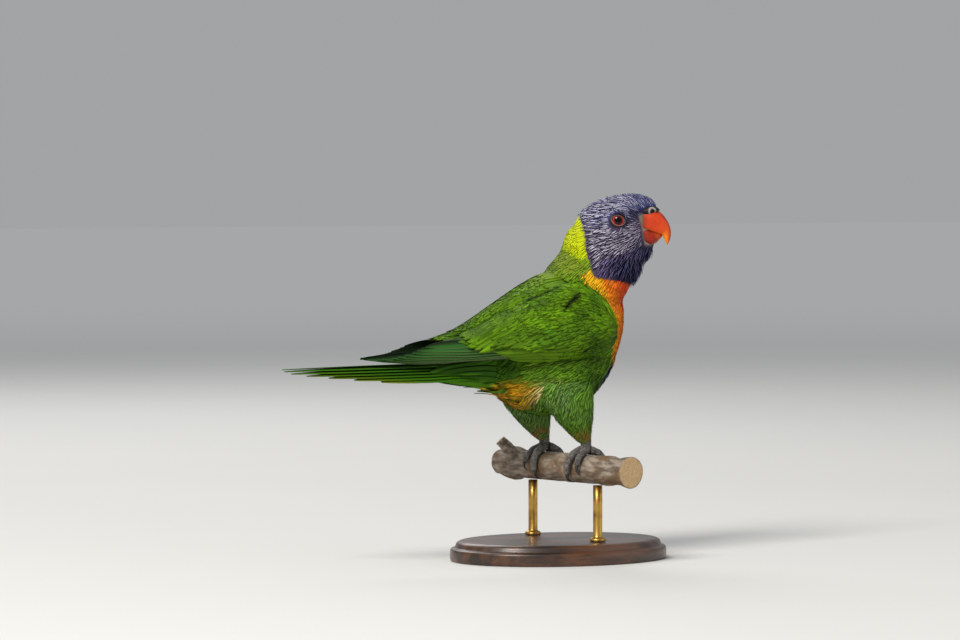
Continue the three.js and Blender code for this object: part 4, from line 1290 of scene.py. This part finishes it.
def sideCovertVanes():
    f = sideCoverts
    rank = np.tile(np.linspace(0, 1, f["count"]), 2)[:, None]
    side = np.repeat([-1, 1], f["count"])[:, None]
    s = vaneRows(20)
    x = mix(f["rootX"] - 4 * rank, f["tipX"] + 16 * np.abs(rank - 0.55), s)
    y = side * (mix(f["rootSide"], f["tipSide"], ease(s, 0, 0.7)) - 4.5 * np.abs(rank - 0.5) ** 1.5)
    z = mix(mix(*f["rootZ"], rank), mix(*f["tipZ"], rank), s**0.7)
    line = xyz(x, y, z)
    out = unit(np.broadcast_to(xyz(0.1, side, 1.4 * (rank - 0.5)), line.shape))
    points, uvs, faces = longVanes(line, out, s, f["wide"], [0.25, -0.25], 3, 0, 9, 0.25)
    makeCoat("tail_side_coverts", points, uvs, faces, vaneTones(uvs, f["tones"]), "vane")


sideCovertVanes()
print("plumage done")


# Head fittings

upperRows = {
    "at": [0, 1, 2, 3, 4, 5, 6, 7],
    "ridgeX": [16.5, 21.2, 25.3, 28.1, 30, 30.5, 29.8, 28.4],
    "ridgeZ": [10.4, 10.1, 7.9, 4.4, 0.3, -3.6, -7, -9.7],
    "edgeX": [16, 19, 21.6, 24.2, 25.8, 26.7, 27.4, 28.1],
    "edgeZ": [-0.6, -1.7, -2.7, -3.6, -4.3, -6, -8, -9.6],
    "wide": [6.2, 5.8, 5, 4.2, 3.2, 2.3, 1.4, 0.35],
}
lowerRows = {
    "at": [0, 1, 2, 3, 4],
    "ridgeX": [15.5, 18.6, 21.6, 24, 25.6],
    "ridgeZ": [-0.4, -1.2, -2.2, -3.2, -3.9],
    "edgeX": [17.3, 19.8, 22.3, 24.2, 25.5],
    "edgeZ": [-9.3, -9.5, -8.4, -6.6, -5.2],
    "wide": [5.5, 5.2, 4.4, 3.3, 1.7],
}


# Bill half: from the ridge to the cutting edge at each row, with a half-width of one minus a power of
# the distance from the middle, so that the crown is round and the side by the cutting edge is full.
def billGrid(rows, count, around, cuttingBelow):
    row = spread(rows, count)
    a = circle(around)
    ridge = xyz(row["ridgeX"], 0, row["ridgeZ"])
    edge = xyz(row["edgeX"], 0, row["edgeZ"])
    middle, half = (ridge + edge) / 2, (ridge - edge) / 2
    high = np.sin(a)
    grid = middle[:, None] + half[:, None] * high[:, None]
    power = np.where((high < 0) == cuttingBelow, 5.0, 2.1)
    grid[..., 1] = row["wide"][:, None] * np.sign(np.cos(a)) * (1 - np.abs(high) ** power) ** (1 / power)
    return grid


def hornFinish():
    finish = Finish("billHorn", Coat_Roughness=0.3, Coat_Weight=0.12, Specular_IOR_Level=0.25)
    streak = finish.noise(900, 4, finish.stretched((1, 1, 0.35)))
    fine = finish.noise(5200, 3)
    finish.feed("Base Color", finish.shade(finish.paint(), 0.62 + streak * 0.6 + fine * 0.12))
    finish.feed("Roughness", 0.36 + fine * 0.16 + streak * 0.1)
    finish.bump(streak * 0.7 + fine * 0.3, 0.00012, 0.6)
    return finish.material


materials["horn"] = hornFinish()


# Both halves, painted by the share of the way to the tip and by how near the ridge a point lies, with painted
# shade along the upper ridge and over the lower half.
def makeBill():
    count, around = 64, 80
    share = np.r_[np.repeat(np.linspace(0, 1, count), around), 0, 1][:, None]
    ridgeward = np.r_[np.tile(np.sin(circle(around)), count), 0, 0][:, None]
    red, orange, deep = screen(202, 60, 18), screen(240, 120, 10), screen(84, 18, 14)
    upper = mix(red, screen(222, 76, 6), ease(share, 0.3, 0.6))
    upper = mix(upper, screen(246, 142, 8), ease(share, 0.5, 0.78) * ease(-ridgeward, -0.75, 0.3))
    # Painted shade along the ridge of the upper half.
    upper = mix(upper, deep, 0.55 * ease(ridgeward, 0.75, 1) * ease(share, 0.15, 0.4))
    upper = mix(upper, orange, 0.5 * ease(-ridgeward, 0.7, 0.98) * (1 - ease(share, 0.6, 0.8)))
    # The lower half is painted a darker red as painted shade, deepest at its top under the upper half.
    lower = mix(screen(150, 34, 8), orange, 0.3 * ease(share, 0.4, 0.9))
    lower = mix(lower, deep, 0.6 * ease(ridgeward, 0.55, 0.95))
    for node, rows, tint in (("bill_upper", upperRows, upper), ("bill_lower", lowerRows, lower)):
        points, faces = joinLofts([billGrid(rows, count, around, node == "bill_upper")])
        tint = mix(tint, deep, 0.5 * (1 - ease(share, 0, 0.12)))
        makePiece(node + "_horn", fromHead(points), faces, materials["horn"], [node], tint=tint)


makeBill()


def bareSkinFinish(name, scale, roughness):
    finish = Finish(name, Specular_IOR_Level=0.35)
    wrinkles = finish.noise(scale, 5)
    bumps = finish.node("ShaderNodeTexVoronoi", {"feature": "F1"}, {"Vector": finish.place(), "Scale": scale})
    finish.feed("Base Color", finish.shade(finish.paint(), 0.6 + wrinkles * 0.8))
    finish.feed("Roughness", roughness + wrinkles * 0.2)
    finish.bump(wrinkles + bumps * 0.8, 0.00016, 0.8)
    return finish.material


materials["cere"] = bareSkinFinish("cereSkin", 1500, 0.45)
materials["lid"] = bareSkinFinish("lidSkin", 2600, 0.55)

# Cere: a low saddle with a raised ring and a sunken hole for each nostril.
cereRows = {
    "at": [15, 18, 21, 23.2, 24.4],
    "up": [11.6, 12.2, 12, 11, 9.9],
    "down": [5, 5.6, 6.6, 7.9, 8.8],
    "wide": [5.4, 6.2, 6.0, 4.6, 2.4],
}
nostril = {"x": 21.2, "z": 8.9, "side": 4.9, "ring": 1.9, "hole": 1.35, "lift": 0.42, "deep": 1.3}


def makeCere():
    count, around = 48, 96
    at = np.linspace(cereRows["at"][0], cereRows["at"][-1], count)
    row = between(cereRows, at)
    a = circle(around)
    middle, high = (row["up"] + row["down"]) / 2, (row["up"] - row["down"]) / 2
    grid = xyz(at[:, None], row["wide"][:, None] * np.cos(a), middle[:, None] + high[:, None] * np.sin(a))
    ringMask = np.zeros((count, around))
    for side, _ in bothSides:
        centre = np.array([nostril["x"], side * nostril["side"], nostril["z"]])
        gap = np.linalg.norm(grid - centre, axis=-1)
        rim = np.exp(-(((gap - nostril["ring"]) / 0.4) ** 2))
        hole = 1 - ease(gap, 0.8, nostril["hole"])
        ringMask += rim - hole
        grid += (nostril["lift"] * rim - nostril["deep"] * hole)[..., None] * unit(np.array([0.18, side, 0.3]))
    points, faces = joinLofts([grid])
    # The rings are painted pale grey and the sunken holes black, the black being painted shade inside the
    # nostrils.
    dark, pale, black = screen(10, 9, 11), screen(170, 162, 156), screen(2, 2, 3)
    tint = blend(dark, pale, np.clip(ringMask, 0, 1))
    tint = blend(tint, black, np.clip(-1.4 * ringMask, 0, 1)).reshape(-1, 3)
    tint = np.concatenate([tint, [dark, dark]])
    makePiece("cere_saddle", fromHead(points), faces, materials["cere"], ["cere"], tint=tint)


makeCere()


# An eye's centre in the head, the way it looks, and two ways across that.
def eyeAxes(side):
    axis = unit(np.array([0.12, side, 0.08]))
    one = unit(np.cross(np.array([0.3, 0.1, 1.0]), axis))
    return np.array([eye["x"], side * eye["side"], eye["z"]]), axis, one, np.cross(axis, one)


# Colours from the pupil outwards, by the share of the way from the front of the ball to its back.
def eyeFinish():
    finish = Finish("eyeBall", Roughness=0.12, Specular_IOR_Level=0.0, Coat_Weight=0.45, Coat_Roughness=0.02)
    across = finish.across("face")[1]
    rays = finish.noise(9, 4, finish.node("ShaderNodeUVMap", {"uv_map": "rays"}))
    stops = [
        (0.0, screen(2, 2, 3)), (0.095, screen(3, 2, 3)), (0.12, screen(34, 12, 8)),
        (0.165, screen(62, 18, 10)), (0.188, screen(150, 38, 32)), (0.225, screen(188, 54, 44)),
        (0.245, screen(128, 36, 28)), (0.262, screen(8, 6, 7)), (1.0, screen(16, 14, 14)),
    ]
    ramp = finish.node("ShaderNodeValToRGB", {"stops": stops}, {"Fac": across + (rays - 0.5) * 0.012})
    finish.feed("Base Color", finish.shade(ramp, rays * 0.7 + 0.65))
    return finish.material


materials["eye"] = eyeFinish()


# Eyeball: circles of latitude about its axis, with a front that is a little flattened.
def makeEye(side, name):
    count = 72
    centre, axis, one, two = eyeAxes(side)
    tip = np.linspace(0.012, np.pi - 0.012, count)[:, None]
    a = circle(count)
    flat = 1 - 0.06 * np.exp(-((tip / 0.7) ** 2))
    ring = one * np.cos(a)[:, None] + two * np.sin(a)[:, None]
    ball = eye["ball"] * np.sin(tip)[..., None] * ring + (eye["ball"] * flat * np.cos(tip))[..., None] * axis
    points, faces = joinLofts([centre + ball])
    across = np.r_[np.repeat(tip[:, 0] / np.pi, count), 0, 1]
    around = np.r_[np.tile(a, count), 0, 0]
    reach = 0.5 + across
    layers = {
        "face": np.stack([around / (2 * np.pi), across], -1),
        "rays": np.stack([np.cos(around) * reach, np.sin(around) * reach], -1),
    }
    makePiece("eye_ball_" + name, fromHead(points), faces, materials["eye"], ["eye_" + name], layers)


# Eyelid: a puckered ring round the ball, fuller above, with a bare margin that slopes to the feathers.
lid = {"radius": 3.5, "stand": 2.85, "rope": 0.44, "puckers": 30, "oval": 0.8, "around": 144, "across": 28}


def makeLid(side, name):
    around, across = lid["around"], lid["across"]
    centre, axis, one, two = eyeAxes(side)
    a, b = circle(around)[:, None], circle(across)[None]
    corner = np.abs(np.cos(a)) ** 5
    rope = lid["rope"] * (1 + 0.14 * np.sin(a * lid["puckers"]) * np.cos(b) ** 2)
    outside = np.clip(np.cos(b), 0, 1) ** 2
    ring = lid["radius"] + 0.3 * corner + rope * np.cos(b) + (0.6 + 1.1 * corner) * outside
    out = lid["stand"] + rope * np.sin(b) - (1.9 + 0.5 * corner) * outside + 0.12 * np.sin(a - 0.6)
    out = out + 0.4 * np.sin(a) ** 2
    grid = ring[..., None] * (one * np.cos(a)[..., None] + lid["oval"] * two * np.sin(a)[..., None])
    grid = centre + grid + out[..., None] * axis
    i, j = np.meshgrid(np.arange(around), np.arange(across), indexing="ij")
    nextI, nextJ = (i + 1) % around * across, (j + 1) % across
    p, q, r, t = i * across + j, i * across + nextJ, nextI + nextJ, nextI + j
    faces = [np.stack([p, q, r, t] if side < 0 else [p, t, r, q], -1).reshape(-1, 4)]
    # The pale brown-grey crest of the lid darkens over its upper half: painted shadow of the brow.
    onTop = np.exp(-(((b - 1.75) / 0.42) ** 2)) * mix(0.35, 1, ease(-np.sin(a), -0.6, 0.7))
    tint = blend(screen(44, 40, 48), screen(136, 118, 104), onTop)
    tint = blend(tint, screen(12, 9, 11), ease(b + 0 * a, 2.3, 2.9)).reshape(-1, 3)
    makePiece("eyelid_" + name, fromHead(grid.reshape(-1, 3)), faces, materials["lid"], tint=tint)


for side, name in bothSides:
    makeEye(side, name)
for side, name in bothSides:
    makeLid(side, name)
# Feet

toes = [
    {"spread": 4.2, "from": 82, "to": -28, "radius": 2.3, "claw": 8},
    {"spread": -4.4, "from": 82, "to": 2, "radius": 2.1, "claw": 7},
    {"spread": 3.6, "from": 98, "to": 196, "radius": 2.2, "claw": 7.5},
    {"spread": -4, "from": 98, "to": 168, "radius": 2, "claw": 6.5},
]
scutes = {"toe": 13, "height": 0.055, "shank": 5}


def footScaleFinish():
    finish = Finish("footScales", Specular_IOR_Level=0.4)
    edges = {"Vector": finish.place(), "Scale": 900}
    cells = finish.node("ShaderNodeTexVoronoi", {"feature": "DISTANCE_TO_EDGE"}, edges)
    tone = finish.noise(500, 4)
    crack = 1 - cells.eased(0.0, 0.12)
    colour = finish.colours(screen(52, 50, 50), screen(110, 106, 102), tone.eased(0.35, 0.7))
    finish.feed("Base Color", finish.colours(colour, screen(150, 144, 134), crack * 0.5))
    finish.feed("Roughness", 0.55 + tone * 0.2)
    finish.bump(cells.eased(0.0, 0.2) + tone * 0.2, 0.00025, 0.8)
    return finish.material


def clawFinish():
    finish = Finish("clawHorn", Coat_Weight=0.3, Coat_Roughness=0.2)
    streak = finish.noise(1400, 3, finish.stretched((1, 1, 0.4)))
    finish.feed("Base Color", finish.colours(screen(18, 17, 18), screen(58, 52, 48), streak.eased(0.4, 0.8)))
    finish.feed("Roughness", 0.28 + streak * 0.2)
    finish.bump(streak, 0.0001, 0.5)
    return finish.material


materials["foot"] = footScaleFinish()
materials["claw"] = clawFinish()


# From the branch's frame, with the branch along y, to the shared frame.
def fromBranch(points, x, y):
    return points @ rotation(0, perch["turn"]).T + np.array([x, y, perch["height"]])


# A place round the branch: an angle from level, a place along it and the height over its bark.
def grip(degrees, y, high):
    a = np.radians(degrees)
    reach = perch["radius"] + 0.3 + high
    return xyz(reach * np.cos(a), y, reach * np.sin(a))


# Foot: toes are tubes round the branch whose rings swell at the knuckles and at each scute, with claws
# that curve down, and a palm and a ringed shank join them.
def makeFoot(side, name):
    tubes, claws = [], []
    for toe in toes:
        t = np.linspace(0, 1, 90)
        y = -side * toe["spread"] * (0.55 + 0.6 * t)
        path = grip(mix(toe["from"], toe["to"], t), y, toe["radius"])
        radius = toe["radius"] * (1 - 0.22 * t) * (1 + 0.05 * np.cos(t * 18))
        radius = radius * (0.97 + scutes["height"] * (1 - np.abs(np.sin(t * np.pi * scutes["toe"])) ** 0.5))
        radius = radius * np.sqrt(np.clip((1.02 - t) / 0.08, 0.05, 1))
        tubes.append(tubeGrid(path, radius, 28, (0, 1, 0.02)))
        sign = np.sign(toe["to"] - toe["from"])
        c = np.linspace(0, 1, 30)
        turn = sign * math.degrees(toe["claw"] / (perch["radius"] + 3))
        low = mix(toe["radius"] * 0.9, 0.35, c) + 1.1 * np.sin(np.pi * c)
        curve = grip(toe["to"] + turn * c - sign * 4, y[-1], low)
        claws.append(tubeGrid(curve, mix(toe["radius"] * 0.6, 0.16, c**0.8), 16, (0, 1, 0.02)))
    palm = curveThrough([[-3.4, 0, 10.4], [0, 0, 10.9], [3.4, 0, 10.4]], 20)
    tubes.append(tubeGrid(palm, 2 + 0.7 * np.sin(np.pi * np.linspace(0, 1, 20)), 24, (0, 1, 0.02)))
    high = np.linspace(10.3, 16.5, 40)
    ringed = 2.8 * (1 + 0.04 * np.abs(np.sin((high - 10) * scutes["shank"] / 6.2 * np.pi)))
    tubes.append(tubeGrid(xyz(0, 0, high), ringed, 28, (1, 0, 0)))
    for kind, grids, finish in (("toes", tubes, "foot"), ("claws", claws, "claw")):
        points, faces = joinLofts(grids)
        points = fromBranch(points, *footPlace(side))
        makePiece("foot_" + kind + "_" + name, points, faces, materials[finish], ["foot_" + name])


for side, name in bothSides:
    makeFoot(side, name)


# Branch: a tube whose radius waves with knots and long ridges, cut flat at its ends, with a cut stub.
branch = {
    "rows": 260, "around": 180, "ridges": 0.45, "lumps": 0.5, "cutRings": 14,
    "stub": [[-2, 41, 3], [-6, 42, 8], [-10, 44.5, 13]], "stubRadius": (4.3, 2.9), "stubRows": 60,
}


def barkFinish():
    finish = Finish("bark", Specular_IOR_Level=0.25)
    long = finish.noise(420, 6, finish.stretched((1, 0.22, 1), (0, 0, -math.radians(perch["turn"]))))
    patch = finish.noise(70, 4)
    fine = finish.noise(2400, 4)
    grey = finish.colours(screen(96, 84, 74), screen(168, 154, 138), long.eased(0.3, 0.7))
    brown = finish.colours(screen(70, 50, 36), screen(140, 112, 84), fine.eased(0.3, 0.7))
    barkColour = finish.colours(grey, brown, patch.eased(0.45, 0.65))
    wood = finish.colours(screen(170, 138, 98), screen(206, 178, 136), fine.eased(0.3, 0.7))
    finish.feed("Base Color", finish.colours(barkColour, wood, finish.paint()))
    finish.feed("Roughness", 0.8 + fine * 0.15)
    finish.bump(long + fine * 0.3, 0.0006, 0.9)
    return finish.material


materials["bark"] = barkFinish()


# A tube's grid closed by flat cuts, whose rings shrink to the middle, and a mask of what is cut.
def withCuts(path, grid):
    extra = branch["cutRings"] - 1
    share = np.linspace(1, 0.02, extra + 1)[1:, None, None]
    first = path[:1, None] + (grid[:1] - path[:1, None]) * share[::-1]
    last = path[-1:, None] + (grid[-1:] - path[-1:, None]) * share
    cut = np.repeat(np.r_[np.ones(extra), np.zeros(len(path)), np.ones(extra)], grid.shape[1])
    return np.concatenate([first, grid, last]), np.r_[cut, 1, 1][:, None] * np.ones(3)


def makeBranch():
    half = perch["length"] / 2
    y = np.linspace(-half, half, branch["rows"])
    line = xyz(0, y, 0)
    clear = ease(np.abs(y), 28, 40)
    knot = 1.2 * np.exp(-(((y - 41) / 5) ** 2))
    radius = perch["radius"] - 0.12 + clear * (0.7 * np.sin(y * 0.31) + knot)
    grid = tubeGrid(line, radius, branch["around"])
    out = unit(grid - line[:, None])
    rough = cloud(grid * np.array([1, 0.14, 1]), 1.7) - 0.6
    lumps = cloud(grid, 5, 3) - 0.5
    amount = mix(0.18, 1, ease(np.abs(np.abs(y) - perch["stance"] / 2), 7, 12))[:, None]
    bark = amount * (branch["ridges"] * rough + branch["lumps"] * lumps) - 0.05
    body, bodyCut = withCuts(line, grid + out * bark[..., None])
    count = branch["stubRows"]
    stubLine = curveThrough(branch["stub"], count)
    stubRadius = mix(*branch["stubRadius"], np.linspace(0, 1, count))
    stub, stubCut = withCuts(stubLine, tubeGrid(stubLine, stubRadius, 72))
    extra = branch["cutRings"] - 1
    sides = stub[extra:-extra]
    away = unit(sides - sides.mean(1, keepdims=True))
    stub[extra:-extra] = sides + away * (0.4 * (cloud(sides, 1.6) - 0.6))[..., None]
    points, faces = joinLofts([body, stub])
    points = fromBranch(points, perch["forward"], 0)
    tint = np.concatenate([bodyCut, stubCut])
    makePiece("perch_branch", points, faces, materials["bark"], ["perch"], tint=tint)


makeBranch()

# Stand: an oval base with a moulded edge, and two rods that end in the branch. The edge's profile and a
# rod's collar are given from the outside in and from the bottom up.
stand = {"long": 62, "wide": 48, "thick": 11, "rod": 2.5, "spacing": 56, "collar": 4.4, "rodTop": 41.6}


def standWoodFinish():
    finish = Finish("standWood", Coat_Weight=0.35, Coat_Roughness=0.18)
    grain = finish.noise(60, 5, finish.stretched((0.2, 2.4, 2.4)))
    pores = finish.noise(900, 4, finish.stretched((0.08, 1, 1)))
    colour = finish.colours(screen(40, 24, 15), screen(92, 56, 32), grain.eased(0.35, 0.68))
    finish.feed("Base Color", finish.colours(colour, screen(24, 14, 9), pores.eased(0.58, 0.72) * 0.6))
    finish.feed("Roughness", 0.34 + pores * 0.2)
    finish.bump(pores, 0.0001, 0.4)
    return finish.material


def brassFinish():
    finish = Finish("brassRod", Metallic=1.0)
    brushed = finish.noise(1200, 4, finish.stretched((1, 1, 0.06)))
    tarnish = finish.noise(130, 4)
    colour = finish.colours(screen(206, 164, 84), screen(142, 104, 50), tarnish.eased(0.45, 0.75))
    finish.feed("Base Color", colour)
    finish.feed("Roughness", 0.24 + brushed * 0.16 + tarnish * 0.1)
    finish.bump(brushed, 0.00005, 0.5)
    return finish.material


materials["standWood"] = standWoodFinish()
materials["brass"] = brassFinish()


# Stand base: a moulded profile of inset and height carried round an oval.
def makeStandBase():
    thick = stand["thick"]
    inset, _, high = curveThrough(
        [[0.8, 0, 0], [0.1, 0, 0.7], [0, 0, 2.2], [0, 0, 5], [0.5, 0, 6.6], [2.4, 0, 7.4], [2.9, 0, 8.3],
         [3.6, 0, 9.8], [5.4, 0, 10.8], [8, 0, thick], [14, 0, thick]], 90).T
    inset = np.r_[40, 1.6, inset, 30, 44][:, None]
    high = np.clip(np.r_[0, 0, high, thick, thick], 0, thick)[:, None]
    a = circle(200)
    grid = xyz((stand["long"] - inset) * np.cos(a), (stand["wide"] - inset) * np.sin(a), high)
    points, faces = joinLofts([grid])
    makePiece("stand_oval_base", points, faces, materials["standWood"], ["stand_base"])


# Rod: a collar on the base, then a straight tube; each row is a radius and a height.
def makeRod(side, name):
    rod, collar = stand["rod"], stand["collar"]
    radius, high = np.array([[4.1, 11.3], [collar, 11.6], [collar, 12.5], [4.0, 13], [2.9, 13.5],
                             [rod, 14.2], [rod, 30], [rod, stand["rodTop"]]]).T
    path = xyz(0, side * stand["spacing"] / 2, high - perch["height"])
    points, faces = joinLofts([tubeGrid(path, radius, 48, (1, 0, 0))])
    points = fromBranch(points, perch["forward"], 0)
    nodes = ["stand_rod_" + name]
    makePiece("stand_brass_rod_" + name, points, faces, materials["brass"], nodes)


makeStandBase()
for side, name in bothSides:
    makeRod(side, name)
print("fittings done")

# Studio: a pale floor, a large soft light overhead, a fill by the camera, and the camera.
view = {
    "azimuth": -28, "elevation": 2, "distance": 2400, "frame": 523, "sensor": 36,
    "aim": (-37.9, 20.1, 130.4),
}
lights = [
    {"name": "key", "from": (-1.62, -0.94, 1.75), "size": 0.8, "power": 58, "tone": (1, 0.97, 0.92)},
    {"name": "fill", "from": (1.5, -1.2, 0.6), "size": 1.6, "power": 5, "tone": (0.93, 0.97, 1)},
    {"name": "back", "from": (0.2, 1.6, 1.4), "size": 1.2, "power": 14, "tone": (1, 1, 1)},
]
studio = {"air": (0.86, 0.88, 0.9), "glow": 0.42, "fadeFrom": 0.7, "fadeTo": 4.5, "floor": 12}


# Floor: pale and plain, turning further out into the glow of the air so that no horizon shows.
def floorFinish():
    finish = Finish("paleFloor", Roughness=0.9, Specular_IOR_Level=0.1, Emission_Strength=studio["glow"])
    soft = finish.noise(3, 2)
    away = finish.node("ShaderNodeVectorMath", {"operation": "LENGTH"}, {0: finish.place()}, 1)
    far = away.eased(studio["fadeFrom"], studio["fadeTo"])
    near = finish.colours(screen(214, 214, 212), screen(220, 219, 216), soft)
    finish.feed("Base Color", finish.colours(near, (0, 0, 0), far))
    finish.feed("Emission Color", finish.colours((0, 0, 0), studio["air"], far))
    return finish.material


def makeStudio():
    mesh = bpy.data.meshes.new("floor")
    far = studio["floor"]
    mesh.from_pydata([(-far, -far, 0), (far, -far, 0), (far, far, 0), (-far, far, 0)], [], [(0, 1, 2, 3)])
    mesh.materials.append(floorFinish())
    floor = placed("floor", mesh)
    world = bpy.data.worlds.new("studio")
    world.use_nodes = True
    background = world.node_tree.nodes["Background"]
    background.inputs[0].default_value = (*studio["air"], 1)
    background.inputs[1].default_value = studio["glow"]
    bpy.context.scene.world = world
    bpy.context.scene.view_settings.view_transform = "Standard"
    aim = Vector(view["aim"]) * metre
    for each in lights:
        lamp = bpy.data.lights.new(each["name"], "AREA")
        lamp.size, lamp.energy, lamp.color = each["size"], each["power"], each["tone"]
        holder = placed(each["name"], lamp)
        holder.location = each["from"]
        holder.rotation_euler = (aim - holder.location).to_track_quat("-Z", "Y").to_euler()
    camera = bpy.data.cameras.new("camera")
    camera.sensor_width = view["sensor"]
    camera.lens = view["sensor"] * view["distance"] / view["frame"]
    camera.clip_end = 30
    holder = placed("camera", camera)
    a, e = math.radians(view["azimuth"]), math.radians(view["elevation"])
    back = Vector((math.sin(a) * math.cos(e), -math.cos(a) * math.cos(e), math.sin(e)))
    holder.location = aim + back * view["distance"] * metre
    holder.rotation_euler = back.to_track_quat("Z", "Y").to_euler()
    bpy.context.scene.camera = holder


makeStudio()
